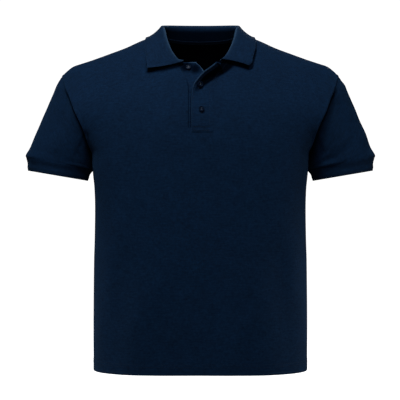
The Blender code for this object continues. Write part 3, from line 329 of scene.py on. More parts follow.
# Seams lie this deep between their pieces. The allowance turned under the body stands out beside the armhole.
SEAM_DEPTH = 0.0006
SEAM_WIDTH = 0.0020
ALLOWANCE_HEIGHT = 0.0013
ALLOWANCE_WIDTH, ALLOWANCE_EDGE = 0.0090, 0.004
# The allowance rises to its height over this much of the armhole, from the underarm up.
ALLOWANCE_RISE = 0.03
# Beside the neck the shoulder seam's groove fades in over this many columns.
SHOULDER_SEAM_FADE = 6
# The turned-up hem, and its rows of points.
HEM_DEPTH = 0.0230
HEM_STEP, HEM_STEP_WIDTH = 0.0004, 0.0015
HEM_ROWS = (0.0, 0.0015, 0.004, 0.008, 0.012, 0.016, 0.02, 0.0224, 0.0236, 0.026)
# The first row of the front panel beside the window.
WINDOW_ROW = len(HEM_ROWS) + SIDE_CELLS + BELOW_WINDOW_CELLS
# Free edges bulge by this share of their thickness.
HEM_ROUNDNESS = 0.45
RIM_ROUNDNESS = 0.45
FLAP_ROUNDNESS = 1.2
# The folded edge of the flap is this much thicker, within this reach.
FLAP_SWELL, FLAP_SWELL_REACH = 0.0020, 0.0060
# The flap counts as raised in proportion to its lift, up to this one.
FLAP_LIFT_FULL = 0.01
# The upper placket is pressed this much flatter than in the solids.
PLACKET_PRESSED = 0.0015

# The sleeve falls away beside the armhole: so deep, deepest this far from the seam, and level again by here.
# The crease fades in and out again between these shares of the way from the shoulder point to the underarm.
CREASE_DEPTH = 0.0030
CREASE_DEEPEST, CREASE_END = 0.011, 0.048
CREASE_FROM, CREASE_TO = (0.02, 0.2), (0.6, 0.9)

# Gloom: painted shade, how deep in a hollow cloth looks, from 0 to 1. Below zero it is a painted highlight,
# how much an edge is painted paler. Painted shade of the tape, and of the stand up to its ends. All of what
# lies inside the shirt has 1.
TAPE_GLOOM = 0.38
STAND_GLOOM, STAND_GLOOM_ENDS = 0.92, (0.004, 0.014)
# Painted shade on the sleeve, within a reach of the armhole that grows from the first to the second towards
# the underarm, with this power of the way there. It starts this far from the shoulder point.
ARMHOLE_GLOOM, ARMHOLE_GLOOM_FROM = 0.95, (0.02, 0.15)
ARMHOLE_REACH = {-1: (0.0045, 0.0430, 4), 1: (0.0085, 0.0540, 2.6)}
# Painted shade on the cuff, all round, and more on its side by the body.
CUFF_GLOOM, CUFF_INNER_GLOOM, CUFF_INNER = 0.12, 0.50, (0.45, 0.95)
# Painted shadow on the chest beside the upper placket's flap, from its rim to the valley's end, within these
# heights.
FLAP_GLOOM, FLAP_EDGE = 0.97, 0.0050
FLAP_RIM, FLAP_HEIGHTS = (0.0022, 0.0052), (-0.152, -0.125)
# Painted shadows in small hollows of the under placket: the middle, the reach across and along, and the gloom.
HOLLOW_SHADOWS = ((-0.0287, -0.087, 0.0175, 0.0112, 0.92), (-0.011, -0.0915, 0.012, 0.011, 0.88))
# The upper placket's sewn box ends in a line of painted shade this far above its stitching, and so wide.
BOX_GLOOM, BOX_LINE_LIFT, BOX_LINE_WIDTH = 0.40, 0.0026, 0.0014
# The x at which the painted shade of the valley beside the placket's flap ends, by height.
VALLEY = (
    (-0.15, -0.016), (-0.133, 0.004), (-0.116, 0.028), (-0.097, 0.059), (-0.085, 0.072), (-0.07, 0.076),
)
# The channel between the left panel and the upper placket's free edge gets painted shade beside each of them,
# with this gloom and reach. It fades out between these heights.
CHANNEL = {"left_x": (0.55, 0.0012), "upper_edge_x": (0.90, 0.0028)}
CHANNEL_TOP = (-0.125, -0.105)
# Painted shadow on the chest, below the collar's front edges, within this reach and between these distances
# inwards and outwards of their ends.
LEAF_GLOOM, LEAF_REACH = 0.90, (0.0082, 0.0140)
LEAF_INNER, LEAF_OUTER = (0.018, 0.010), (0.002, 0.004)
# Painted highlights make rims and folds paler: every rim, the collar's fold at its back and towards its ends,
# the rims of the upper placket's flap and of the under placket's top, and the end of the stand.
RIM_HIGHLIGHT = 0.22
FOLD_HIGHLIGHT, FOLD_HIGHLIGHT_ENDS = (0.12, 0.60), (0.080, 0.150)
FLAP_HIGHLIGHT, FLAP_HIGHLIGHT_RIM, FLAP_HIGHLIGHT_HEIGHTS = 1.0, (0.0016, 0.0040), (-0.135, -0.120)
UNDER_HIGHLIGHT, UNDER_HIGHLIGHT_RIM, UNDER_HIGHLIGHT_HEIGHTS = 0.7, (0.0008, 0.0024), (-0.105, -0.095)
STAND_HIGHLIGHT, STAND_HIGHLIGHT_END = 0.9, (0.0030, 0.0060)
# The painted highlight along the fold lies at this share of the fold's rows, and is so wide.
FOLD_CREST, FOLD_CREST_WIDTH = 0.35, 0.45

# Edges that turn more than this are shaded sharp.
SHARP_ANGLE = math.radians(50)
# The name of the map that holds distances across and along the cloth.
CLOTH_MAP = "cloth"
# The name of the map of painted shade, which says how deep in the hollow a face lies, and the share of the
# colour that shows where that painted shade is deepest.
GLOOM_MAP = "gloom"
GLOOM_SHADE = 0.08
# The pale colour towards which painted highlights turn the cloth.
HIGHLIGHT_COLOUR = (0.050, 0.110, 0.200)
# Sizes of the fibres, of the patches of uneven dye, of the mottle between them, and of the streaks along the
# rows of loops, as their width and height.
FIBRE_SIZE, PATCH_SIZE, HEATHER_SIZE = 0.0006, 0.045, 0.0050
COURSE_SIZE = (0.016, 0.0030)

BUTTONS = ("button_top", "button_middle", "button_bottom")
# The profile of a button runs from the middle of the back round to the middle of the face, as shares of the
# radius and height.
BUTTON_SIDES = 72
BUTTON_RINGS = 44
BUTTON_PROFILE = (
    (0.0, 0.0), (0.88, 0.0), (0.97, 0.14), (1.0, 0.38), (1.0, 0.66), (0.96, 0.88), (0.88, 1.0), (0.8, 0.98),
    (0.71, 0.76), (0.6, 0.62), (0.0, 0.62),
)
# The holes are drilled in the dished face, within this share of the radius.
DISH_SHARE = 0.7
HOLE_PLACE = 0.00125
HOLE_RADIUS = 0.00075
THREAD_WIDTH = 0.00042

# A stitch as rings along its length: their place, size and rise, in shares of its length and width.
BEAD = ((-0.5, 0.25, -0.5), (-0.36, 0.85, 0.2), (0.0, 1.0, 0.5), (0.36, 0.85, 0.2), (0.5, 0.25, -0.5))
BEAD_SIDES = 6
# Stitches lie this far off the cloth, and follow each other at this pitch.
STITCH_LIFT = 0.0001
STITCH_PITCH, STITCH_LENGTH = 0.0032, 0.0026
# A stitch points from this far behind its middle to this far ahead of it, along its line.
STITCH_AIM = 0.0004
# Buttonholes: stitches this close lie this far to each side of the slit, and are this long and thick. A bar of
# three longer ones lies at each end. The slit runs along the cloth within this many rows of its middle.
HOLE_PITCH = 0.00055
HOLE_ASIDE, HOLE_STITCH, HOLE_THREAD, HOLE_ROWS = 0.00085, 0.0013, 0.00045, 14
BAR_PITCH, BAR_LENGTH = 0.0004, 0.0032
# A hole's middle lies this far above its button's, and the hole of the undone button lies here.
BUTTONHOLE_RISE = -0.0022
TOP_BUTTONHOLE = (0.0400, -0.1060, -0.0900)
# Two stitched lines this far apart cross the foot of the upper placket, and two more lie at the height of its
# box above them. The first lies at this share of the edge line's distance.
BOX_HEIGHT, BOX_LINE_GAP, BOX_START = 0.0078, 0.0009, 0.7
TAPE_LINE = 0.0011

# Each node's cloth: its name, its slot, its width and length when flat, its area, and what carries it.
CLOTH = {
    "front": ("front_panel", "pique", (0.640, 0.795), 0.4295, ["collar", "back"]),
    "back": ("back_panel", "pique", (0.622, 0.792), 0.4429, ["collar", "front"]),
    "sleeve_right": ("sleeve_right_cloth", "pique", (0.400, 0.197), 0.0440, ["front", "back"]),
    "sleeve_left": ("sleeve_left_cloth", "pique", (0.400, 0.198), 0.0444, ["front", "back"]),
    "cuff_right": ("cuff_right_rib", "rib", (0.389, 0.028), 0.0104, ["sleeve_right"]),
    "cuff_left": ("cuff_left_rib", "rib", (0.389, 0.028), 0.0104, ["sleeve_left"]),
    "collar": ("collar_rib", "rib", (0.545, 0.091), 0.0380, ["back", "front"]),
    "placket_upper": ("placket_upper_cloth", "pique", (0.067, 0.195), 0.0081, ["front"]),
    "placket_under": ("placket_under_cloth", "pique", (0.056, 0.170), 0.0081, ["front"]),
    "neck_tape": ("neck_tape_twill", "tape", (0.189, 0.010), 0.0017, ["back"]),
}

# Camera and light. Each light: name, place, target, size, spread in degrees, power and colour.
SENSOR = 36.0
CAMERA_X = -0.0008
# The paper: a round floor that turns up into a wall all round.
PAPER_RADIUS, PAPER_TURN, PAPER_HEIGHT = 9.0, 3.0, 9.0
PAPER_MIDDLE, PAPER_SIDES, PAPER_TURN_STEPS = 0.5, 64, 13
PAPER_GLOW = 1.0
AMBIENT = 0.08
AMBIENT_COLOUR = (1.0, 1.0, 1.0)
LIGHTS = (
    ("key_light", (-0.36, -1.20, 1.45), (0.0, 0.0, -0.15), (0.40, 0.30), 180, 29.0, (0.94, 0.98, 1.0)),
    ("front_light", (0.1, -2.4, 0.3), (0.0, 0.0, -0.35), (1.6, 1.2), 180, 6.5, (0.96, 0.99, 1.0)),
    ("left_light", (-1.2, 0.15, -0.80), (-0.2, 0.0, -0.68), (0.4, 0.3), 40, 0.22, (0.80, 0.95, 1.0)),
    ("right_light", (1.2, 0.15, -0.80), (0.2, 0.0, -0.60), (0.4, 0.3), 50, 0.50, (0.80, 0.95, 1.0)),
    ("back_light", (0.3, 2.4, 1.2), (0.0, 0.0, -0.30), (1.2, 1.0), 180, 16.0, (0.96, 0.99, 1.0)),
)


# ---------------------------------------------------------------- curves and tables


def bell(at, width):
    """1 at 0, falling softly to 0 beyond the width."""
    return np.exp(-((at / width) ** 2))


def hermite(start, start_pull, end, end_pull, t):
    """A cubic curve from start to end that leaves and arrives with these pulls."""
    return (
        start * (1 + 2 * t) * (1 - t) ** 2
        + start_pull * t * (1 - t) ** 2
        + end * t**2 * (3 - 2 * t)
        + end_pull * t**2 * (t - 1)
    )


def column(table, columns, name):
    return np.array([row[columns.index(name)] for row in table], float)


def smooth(at, knots, values):
    """The values at places between a table's knots, on a curve that has no corners and no overshoot."""
    knots, values = np.asarray(knots, float), np.asarray(values, float)
    if knots[0] > knots[-1]:
        knots, values = knots[::-1], values[::-1]
    at = np.clip(np.asarray(at, float), knots[0], knots[-1])
    step = np.diff(knots)
    rise = np.diff(values) / step
    slope = np.empty(len(knots))
    slope[0], slope[-1] = rise[0], rise[-1]
    before, after = rise[:-1], rise[1:]
    same_way = before * after > 0
    mean = 2 * before * after / np.where(same_way, before + after, 1)
    slope[1:-1] = np.where(same_way, mean, 0)
    cell = np.clip(np.searchsorted(knots, at) - 1, 0, len(step) - 1)
    t = (at - knots[cell]) / step[cell]
    start_pull, end_pull = slope[cell] * step[cell], slope[cell + 1] * step[cell]
    return hermite(values[cell], start_pull, values[cell + 1], end_pull, t)


def looked_up(table, columns, key, at):
    """All of a table's other columns by name, at these values of its key column."""
    knots = column(table, columns, key)
    return {name: smooth(at, knots, column(table, columns, name)) for name in columns if name != key}


def unit(vectors):
    length = np.linalg.norm(vectors, axis=-1, keepdims=True)
    return vectors / np.maximum(length, 1e-12)


def run_lengths(points, axis=0):
    """The distance from the first point, along a line of points or down (0) or across (1) a grid."""
    run = np.cumsum(np.linalg.norm(np.diff(points, axis=axis), axis=-1), axis=axis)
    return np.concatenate([np.zeros_like(np.take(run, [0], axis)), run], axis=axis)


def along_run(values, run, at):
    """Rows of values, known at some distances, at other distances."""
    return np.stack([np.interp(at, run, values[:, axis]) for axis in range(values.shape[1])], axis=1)


def along_line(points, at):
    """Points at these distances along a line of points."""
    return along_run(points, run_lengths(points), at)


def evenly(points, cells):
    return along_line(points, np.linspace(0, run_lengths(points)[-1], cells + 1))


def ease(at, start, end):
    """0 up to start, 1 from end on, and smooth between them."""
    t = np.clip((at - start) / (end - start), 0, 1)
    return t * t * (3 - 2 * t)


# ---------------------------------------------------------------- the torso's surface


def shoulder_height(x):
    """The height of the shoulder line, this far from the middle."""
    return looked_up(SHOULDER, SHOULDER_COLUMNS, "x", np.abs(x))["z"]


def rounded(across, power):
    """The height over a rounded oblong's middle line, at a share of the way across it."""
    return (1 - np.clip(across, 0, 1) ** power) ** (1 / power)


def torso_at(z):
    return looked_up(TORSO, TORSO_COLUMNS, "z", z)


def section_y(x, z, panel):
    """How far forward or back a section of the torso lies at (x, z), on the panel "front" or "back"."""
    size = torso_at(z)
    fall = np.clip((shoulder_height(x) - z) / SHOULDER_DROP[panel], 0, 1)
    over_shoulder = (1 - (1 - fall) ** SHOULDER_ROUNDNESS) ** (1 / SHOULDER_ROUNDNESS)
    round_side = rounded(np.abs(x) / size[panel + "_half"], size["power"])
    depth = size[panel + "_depth"] * over_shoulder * round_side
    return RIDGE_Y + (depth if panel == "back" else -depth)


def torso_y(x, z, panel):
    """How far forward or back the torso's outer surface lies at (x, z), on the panel "front" or "back"."""
    fall = (shoulder_height(x) - z) / SHOULDER_DROP[panel]
    share = np.clip((fall - CHEST_EASED_FROM) / (CHEST_EASED_BY - CHEST_EASED_FROM), 0, 1)
    half = torso_at(z)[panel + "_half"]
    inwards = 1 - np.clip(np.abs(x) / half, 0, 1) ** 6
    step = CHEST_STEP * share * share * (3 - 2 * share) * inwards
    return sum(part * section_y(x, z + count * step, panel) for count, part in CHEST_SHARES)


def torso_excess(points):
    """Zero on the torso's outer surface, above zero outside it and below zero inside."""
    x, y, z = np.moveaxis(points, -1, 0)
    size = torso_at(z)
    behind = y > RIDGE_Y
    half, depth = (
        np.where(behind, size["back" + part], size["front" + part]) for part in ("_half", "_depth")
    )
    drop = np.where(behind, SHOULDER_DROP["back"], SHOULDER_DROP["front"])
    round_side = rounded(np.abs(x) / half, size["power"])
    outwards = np.abs(y - RIDGE_Y) / (depth * round_side)
    upwards = np.maximum(z - shoulder_height(x) + drop, 0) / drop
    return outwards**SHOULDER_ROUNDNESS + upwards**SHOULDER_ROUNDNESS - 1


def clear_of_torso(points, clearance):
    """The points again, moved straight out from the torso where they are nearer to it than the clearance."""
    points = np.array(points, float)
    for _ in range(CLEARING_PASSES):
        excess = torso_excess(points)
        ahead = [torso_excess(points + CLEARING_STEP * axis) - excess for axis in np.eye(3)]
        slope = np.stack(ahead, axis=-1) / CLEARING_STEP
        steepness = np.maximum(np.linalg.norm(slope, axis=-1, keepdims=True), 1e-9)
        short = clearance[..., None] - excess[..., None] / steepness
        points += np.clip(short, 0, MOST_CLEARING) * slope / steepness
    return points


def fold_height(across, along, folds):
    """How far cloth stands out at (across, along) over a table of soft straight folds."""
    height = np.zeros(np.shape(across))
    for across0, along0, across1, along1, width, rise in folds:
        run = np.array([across1 - across0, along1 - along0])
        length = np.hypot(*run)
        run = run / length
        right, up = across - across0, along - along0
        ahead = right * run[0] + up * run[1]
        aside = (right * run[1] - up * run[0]) / width
        beyond = np.maximum(np.abs(ahead - length / 2) - length / 2, 0) / (FOLD_END_SOFTNESS * width)
        height = height + rise * np.exp(-(aside**2) - beyond**2)
    return height


def ripple(across, along):
    """A slight unevenness of hanging cloth."""
    height = np.zeros(np.shape(across))
    for wave, turn, phase in RIPPLES:
        ahead = across * math.cos(turn) + along * math.sin(turn)
        aside = across * math.sin(turn) - along * math.cos(turn)
        bend = np.sin(2 * math.pi * aside / (RIPPLE_BEND_WAVE * wave) + 2 * phase)
        height = height + np.sin(2 * math.pi * ahead / wave + phase + RIPPLE_BEND * bend) / len(RIPPLES)
    return height


def torso_points(x, z, panel):
    """Points of the torso's outer surface at (x, z), with its folds, creases and ripples."""
    y = torso_y(x, z, panel)
    outwards = 1 if panel == "back" else -1
    clear_of_edges = np.clip(np.abs(y - RIDGE_Y) / FOLD_EDGE_FADE, 0, 1) ** 2
    lift = fold_height(x, z, FOLDS[panel]) + fold_height(x, z, CREASES[panel])
    lift = lift + RIPPLE_HEIGHT * ripple(x, z)
    return np.stack([x, y + outwards * lift * clear_of_edges, z], axis=-1)


# ---------------------------------------------------------------- panel outlines


def armhole_curve(panel):
    """Points of an armhole seam from the shoulder point to the underarm, evenly spaced, on +X."""
    z = np.linspace(ARMHOLE[0][0], ARMHOLE[-1][0], CURVE_SAMPLES)
    x = looked_up(ARMHOLE, ARMHOLE_COLUMNS, "z", z)[panel + "_x"]
    return evenly(np.stack([x, torso_y(x, z, panel), z], axis=1), ARMHOLE_CELLS)


def neck_curve(panel, start_x, end_x, cells):
    """Points of a neckline from start_x to end_x, evenly spaced along the seam, on +X."""
    knots = np.linspace(0, 1, len(NECK[panel]))

    def coordinate(name, at):
        return smooth(at, knots, column(NECK[panel], NECK_COLUMNS, name))

    whole = np.linspace(0, 1, CURVE_SAMPLES)
    first, last = np.interp([-start_x, -end_x], -coordinate("x", whole), whole)
    part = np.linspace(first, last, CURVE_SAMPLES)
    x, z = coordinate("x", part), coordinate("z", part)
    return evenly(np.stack([x, torso_y(x, z, panel), z], axis=1), cells)


def opening_at(z):
    return looked_up(OPENING, OPENING_COLUMNS, "z", z)


def opening_x(side, z):
    """The edge of the front panel beside the placket window, on side -1 or 1."""
    return opening_at(z)["left_x" if side < 0 else "right_x"]


def window_corner_x(side):
    """Where the edge of the placket window meets the neckline, as a distance from the middle."""
    neck = neck_curve("front", NECK_HALF, 0.0, CURVE_SAMPLES)
    beyond = neck[:, 0] - np.abs(opening_x(side, neck[:, 2]))
    return neck[np.argmax(beyond < 0), 0]


def half_panel(panel, side):
    """Outer points of half a panel, as rows from the hem up and columns from the middle outwards."""
    neck_end = window_corner_x(side) if panel == "front" else 0.0
    top = neck_curve(panel, NECK_HALF, neck_end, NECK_CELLS)[::-1, [0, 2]]
    outwards = 1 - (1 - np.linspace(0, 1, SHOULDER_CELLS + 1)[1:]) ** SHOULDER_GRADING
    shoulder_x = top[-1, 0] + (SHOULDER[-1][0] - top[-1, 0]) * outwards
    top = np.concatenate([top, np.stack([shoulder_x, shoulder_height(shoulder_x)], axis=1)])
    columns = NECK_CELLS + SHOULDER_CELLS

    rows_up = np.arange(ARMHOLE_CELLS + 1)
    if panel == "front":
        knots = (0, BELOW_WINDOW_CELLS, ARMHOLE_CELLS)
        inner_z = np.interp(rows_up, knots, (UNDERARM_Z, WINDOW_BOTTOM_Z, top[0, 1]))
        inner_x = np.abs(opening_x(side, inner_z))
        inner_x[-1] = top[0, 0]
    else:
        inner_z = np.linspace(UNDERARM_Z, top[0, 1], ARMHOLE_CELLS + 1)
        inner_x = np.zeros(ARMHOLE_CELLS + 1)
    inner = np.stack([inner_x, inner_z], axis=1)
    outer = armhole_curve(panel)[::-1, [0, 2]]

    def section_row(z):
        size = torso_at(np.array([z]))
        half, power = size[panel + "_half"][0], size["power"][0]
        first = math.asin((inner_x[0] / half) ** (power / 2))
        turn = np.linspace(first, math.pi / 2, columns + 1)
        return half * np.sin(turn) ** (2 / power)

    low = []
    hem_rows = HEM_Z + np.array(HEM_ROWS)
    for z in [*hem_rows, *np.linspace(hem_rows[-1], UNDERARM_Z, SIDE_CELLS + 2)[1:-1]]:
        low.append(torso_points(side * section_row(z), np.full(columns + 1, z), panel))

    bottom = np.stack([section_row(UNDERARM_Z), np.full(columns + 1, UNDERARM_Z)], axis=1)
    seam = armhole_curve(panel)[::-1]
    u = np.linspace(0, 1, columns + 1)[:, None]
    high = []
    for row in rows_up:
        v = row / ARMHOLE_CELLS
        across = (1 - v) * bottom + v * top
        from_inner = inner[row] - ((1 - v) * bottom[0] + v * top[0])
        from_outer = outer[row] - ((1 - v) * bottom[-1] + v * top[-1])
        place = across + (1 - u) * from_inner + u * from_outer
        high.append(torso_points(side * place[:, 0], place[:, 1], panel))
        high[-1][-1] = seam[row] * (side, 1, 1)
    return np.array(low + high)


# ---------------------------------------------------------------- cloth walls

EVERY = slice(None)


class Sheet:
    """A grid of outer points, which of its cells are cloth, and the direction of the wall's thickness."""

    def __init__(self, points, closed=False, cloth=None, thickness=BODY_THICKNESS, flip=False):
        self.points = np.array(points, float)
        self.closed, self.thickness, self.flip = closed, thickness, flip
        rows, columns = self.points.shape[:2]
        self.cloth = np.ones((rows - 1, columns - (not closed)), bool) if cloth is None else cloth
        self.roundness = np.zeros((rows, columns))
        # Painted shade of the outer and inner faces: how deep in the shirt's hollow they lie, from 0 to 1.
        self.outer_gloom, self.inner_gloom = np.zeros((rows, columns)), np.ones((rows, columns))
        self.swell = np.zeros((rows, columns))
        self.normals = self.measured_normals()

    def corners(self, grid):
        """A grid's values at the four corners of every cell, in turn round it."""
        if self.closed:
            grid = np.concatenate([grid, grid[:, :1]], axis=1)
        return grid[:-1, :-1], grid[:-1, 1:], grid[1:, 1:], grid[1:, :-1]

    def measured_normals(self):
        """The outward direction at every point, from the cells round it."""
        a, b, c, d = self.corners(self.points)
        facing = np.cross(c - a, d - b) * self.cloth[..., None] * (-1 if self.flip else 1)
        rows, columns = self.points.shape[:2]
        normals = np.zeros((rows * columns, 3))
        for corner in self.corners(np.arange(rows * columns).reshape(rows, columns)):
            np.add.at(normals, corner.ravel(), facing.reshape(-1, 3))
        return unit(normals).reshape(rows, columns, 3)

    def trim(self, *edges):
        """Moves edges of the sheet by the seam's trim, towards the points next to them or away from those."""
        for edge in edges:
            beside = tuple({0: 1, -1: -2}[part] if isinstance(part, int) else part for part in edge)
            self.points[edge] += SEAM_TRIM * unit(self.points[beside] - self.points[edge])

    def draw_back(self, path, by, reach):
        """Starts a line of points, given by rows and columns, this much later. Those in reach make room."""
        points, facing = self.points[path], self.normals[path]
        run = run_lengths(points)
        at = run + by * (1 - ease(run, 0, reach))
        self.points[path] = along_line(points, at)
        self.normals[path] = unit(along_run(facing, run, at))

    def darken_to(self, gloom):
        """Raises the outer gloom to a grid of values where they are higher."""
        self.outer_gloom = np.maximum(self.outer_gloom, gloom)

    def sink(self, depth):
        """Lowers the outer points by a grid of depths."""
        self.points -= depth[..., None] * self.normals

    def from_edge(self, edge):
        """Every point's distance from row 0 or -1 along its column, or from column 0 or -1 along its row."""
        axis, end = edge
        if end == 0:
            return run_lengths(self.points, axis)
        return np.flip(run_lengths(np.flip(self.points, axis), axis), axis)

    def cloth_map(self):
        """Distances across and along the cloth at every point, and once more at the end of a closed row."""
        points = self.points
        if self.closed:
            points = np.concatenate([points, points[:, :1]], axis=1)
        across = run_lengths(points, 1)
        if not self.closed:
            across -= across[:, points.shape[1] // 2, None]
        return np.stack([across, run_lengths(points)], axis=-1)

    def at(self, row, column_, lift=0.0):
        """Points at fractional rows and columns of an open sheet, lifted off it, and the way it faces."""
        row, column_ = np.broadcast_arrays(np.asarray(row, float), np.asarray(column_, float))
        rows, columns = self.points.shape[:2]
        r0 = np.clip(np.floor(row).astype(int), 0, rows - 2)
        c0 = np.clip(np.floor(column_).astype(int), 0, columns - 2)
        v, u = (row - r0)[..., None], (column_ - c0)[..., None]

        def blended(grid):
            low = grid[r0, c0] * (1 - u) + grid[r0, c0 + 1] * u
            return low * (1 - v) + (grid[r0 + 1, c0] * (1 - u) + grid[r0 + 1, c0 + 1] * u) * v

        facing = unit(blended(self.normals))
        return blended(self.points) + lift * facing, facing

    def line_beside(self, edge, distance, start=0, end=None):
        """A line just off the cloth at this distance from an edge, from one point of the edge to another."""
        axis, last = edge
        run = self.from_edge(edge)
        if axis:
            run = run.T
        lines, places = range(run.shape[1])[start:end], []
        for line in lines:
            away = run[:, line] if last == 0 else run[::-1, line]
            place = np.interp(distance, away, np.arange(len(away)))
            places.append(place if last == 0 else len(away) - 1 - place)
        lines, places = np.array(lines), np.array(places)
        return self.at(lines, places, STITCH_LIFT) if axis else self.at(places, lines, STITCH_LIFT)

    def build(self, name, material):
        outer = self.points
        inner = outer - (self.thickness + self.swell)[..., None] * self.normals
        return wall_object(name, self, outer, inner, material)


def share_normals(sheets):
    """Gives sheets that meet along a seam one direction of thickness there, so that their walls are mitred.

    Where they double back on each other each keeps its own, because their walls then part by themselves.
    """
    points = np.concatenate([sheet.points.reshape(-1, 3) for sheet in sheets])
    normals = np.concatenate([sheet.normals.reshape(-1, 3) for sheet in sheets])
    _, group = np.unique(np.round(points / SEAM_GAP).astype(int), axis=0, return_inverse=True)
    group = group.ravel()
    order, counts = np.argsort(group, kind="stable"), np.bincount(group)
    firsts = np.cumsum(counts) - counts
    for shared in np.flatnonzero(counts > 1):
        members = order[firsts[shared] : firsts[shared] + counts[shared]]
        own = normals[members]
        agree = np.clip((own @ own.T - MITRE_NONE) / (MITRE_ALL - MITRE_NONE), 0, 1)
        normals[members] = unit(agree @ own)
    start = 0
    for sheet in sheets:
        size = sheet.points.shape[0] * sheet.points.shape[1]
        sheet.normals = normals[start : start + size].reshape(sheet.points.shape)
        start += size


def placed(name, data):
    """An object of this data, in the scene."""
    thing = bpy.data.objects.new(name, data)
    bpy.context.scene.collection.objects.link(thing)
    return thing


def plain_mesh(name, points, faces, material):
    mesh = bpy.data.meshes.new(name)
    mesh.from_pydata(points, [], faces)
    mesh.materials.append(material)
    mesh.shade_smooth()
    return mesh


def mesh_object(name, points, faces, material, corners=None, sharp=SHARP_ANGLE, gloom=None):
    """An object that rides with the shirt. corners holds each face corner's place on the cloth."""
    faces = faces if isinstance(faces, list) else faces.tolist()
    mesh = plain_mesh(name, np.asarray(points).tolist(), faces, material)
    if corners is not None:
        layer = mesh.uv_layers.new(name=CLOTH_MAP)
        layer.data.foreach_set("uv", np.asarray(corners, np.float32).ravel())
    if gloom is not None:
        layer = mesh.attributes.new(GLOOM_MAP, "FLOAT", "POINT")
        layer.data.foreach_set("value", np.asarray(gloom, np.float32))
    if sharp:
        mesh.set_sharp_from_angle(angle=sharp)
    piece = placed(name, mesh)
    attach(piece, "root")
    return piece


def wall_object(name, sheet, outer, inner, material):
    """A closed wall between two grids of points, with a rounded rim wherever the cloth has a free edge."""
    rows, columns = outer.shape[:2]
    index = sheet.corners(np.arange(rows * columns).reshape(rows, columns))
    quads = np.stack([corner[sheet.cloth] for corner in index], axis=1)
    places = sheet.cloth_map()
    square = [places[:-1, :-1], places[:-1, 1:], places[1:, 1:], places[1:, :-1]]
    quad_map = np.stack([corner[sheet.cloth] for corner in square], axis=1)
    if sheet.closed:
        girths = places[:-1, -1:, 0][np.nonzero(sheet.cloth)[0]]
        half = np.nonzero(sheet.cloth)[1] >= columns // 2
        quad_map[half, :, 0] -= girths[half]
    if sheet.flip:
        quads, quad_map = quads[:, ::-1], quad_map[:, ::-1]

    used, flat = np.unique(quads, return_inverse=True)
    quads = flat.reshape(quads.shape)
    outer, inner = outer.reshape(-1, 3)[used], inner.reshape(-1, 3)[used]
    roundness = sheet.roundness.reshape(-1)[used]
    outer_gloom, inner_gloom = sheet.outer_gloom.reshape(-1)[used], sheet.inner_gloom.reshape(-1)[used]
    count = len(used)

    nxt = np.roll(quads, -1, axis=1)
    start, end = quads.ravel(), nxt.ravel()
    far = np.roll(quads, -2, axis=1), np.roll(quads, -3, axis=1)
    open_ = ~np.isin(start * count + end, end * count + start)
    start, end = start[open_], end[open_]
    out = (outer[start] + outer[end] - outer[far[0].ravel()[open_]] - outer[far[1].ravel()[open_]]) / 2
    away = np.zeros((count, 3))
    np.add.at(away, start, unit(out))
    np.add.at(away, end, unit(out))
    rim = np.unique(start)
    rim_place = np.full(count, -1)
    rim_place[rim] = np.arange(len(rim))
    rings = [np.arange(count)]
    points, gloom = [outer, inner], [outer_gloom, inner_gloom]
    for step in range(1, RIM_CELLS):
        turn = math.pi * step / RIM_CELLS
        across = (1 + math.cos(turn)) / 2
        bulge = math.sin(turn) * sheet.thickness * roundness[rim, None] * unit(away[rim])
        points.append(outer[rim] * across + inner[rim] * (1 - across) + bulge)
        # Rims take the lesser painted shade of their two faces, less a painted highlight.
        gloom.append(np.minimum(outer_gloom[rim], inner_gloom[rim]) - RIM_HIGHLIGHT)
        rings.append(2 * count + (step - 1) * len(rim) + rim_place)
    rings.append(count + np.arange(count))

    edge_map = quad_map.reshape(-1, 2)[open_]
    edge_next = np.roll(quad_map, -1, axis=1).reshape(-1, 2)[open_]
    faces, corners = [quads, count + quads[:, ::-1]], [quad_map, quad_map[:, ::-1]]
    for near, over in zip(rings, rings[1:]):
        faces.append(np.stack([near[end], near[start], over[start], over[end]], axis=1))
        corners.append(np.stack([edge_next, edge_map, edge_map, edge_next], axis=1))
    points, faces, corners = np.concatenate(points), np.concatenate(faces), np.concatenate(corners)
    return mesh_object(name, points, faces, material, corners, gloom=np.concatenate(gloom))


# ---------------------------------------------------------------- the cut of each piece


def front_sheet():
    """The front panel's grid, with the window of the placket left out of its cloth."""
    left, right = half_panel("front", -1), half_panel("front", 1)
    columns = left.shape[1]
    middle = (left[:, 0] + right[:, 0]) / 2
    middle[:, 1] = torso_points(middle[:, 0], middle[:, 2], "front")[:, 1]
    points = np.concatenate([left[:, ::-1], middle[:, None], right], axis=1)
    cloth = np.ones((points.shape[0] - 1, points.shape[1] - 1), bool)
    cloth[WINDOW_ROW:, columns - 1 : columns + 1] = False
    return Sheet(points, cloth=cloth)


def back_sheet():
    left, right = half_panel("back", -1), half_panel("back", 1)
    return Sheet(np.concatenate([left[:, :0:-1], right], axis=1), flip=True)


def ring_points(ring, side, turn):
    """Points of an oval ring. turn is 0 at its outer end, 0.25 at the front and 0.5 at the body."""
    size = dict(zip(RING_COLUMNS, ring))
    angle = 2 * math.pi * turn
    along = size["half_length"] * np.cos(angle)
    x = side * (size["x"] + along * math.cos(size["slope"]))
    y = SLEEVE_Y - size["half_depth"] * np.sin(angle)
    z = size["z"] + along * math.sin(size["slope"])
    return np.stack([x, y, z], axis=-1)


def leaned_in(ring, side):
    """A ring of a sleeve or a cuff, with its inner end moved up to the body."""
    inner = np.clip((SLEEVE_END_RING[0] - side * ring[:, 0]) / SLEEVE_END_RING[2], 0, 1) ** 2
    share = ease(-ring[:, 2], *LEAN_FROM) * (1 - ease(-ring[:, 2], *LEAN_TO))
    return ring - np.outer(LEAN * inner * share, [side, 0, 0])


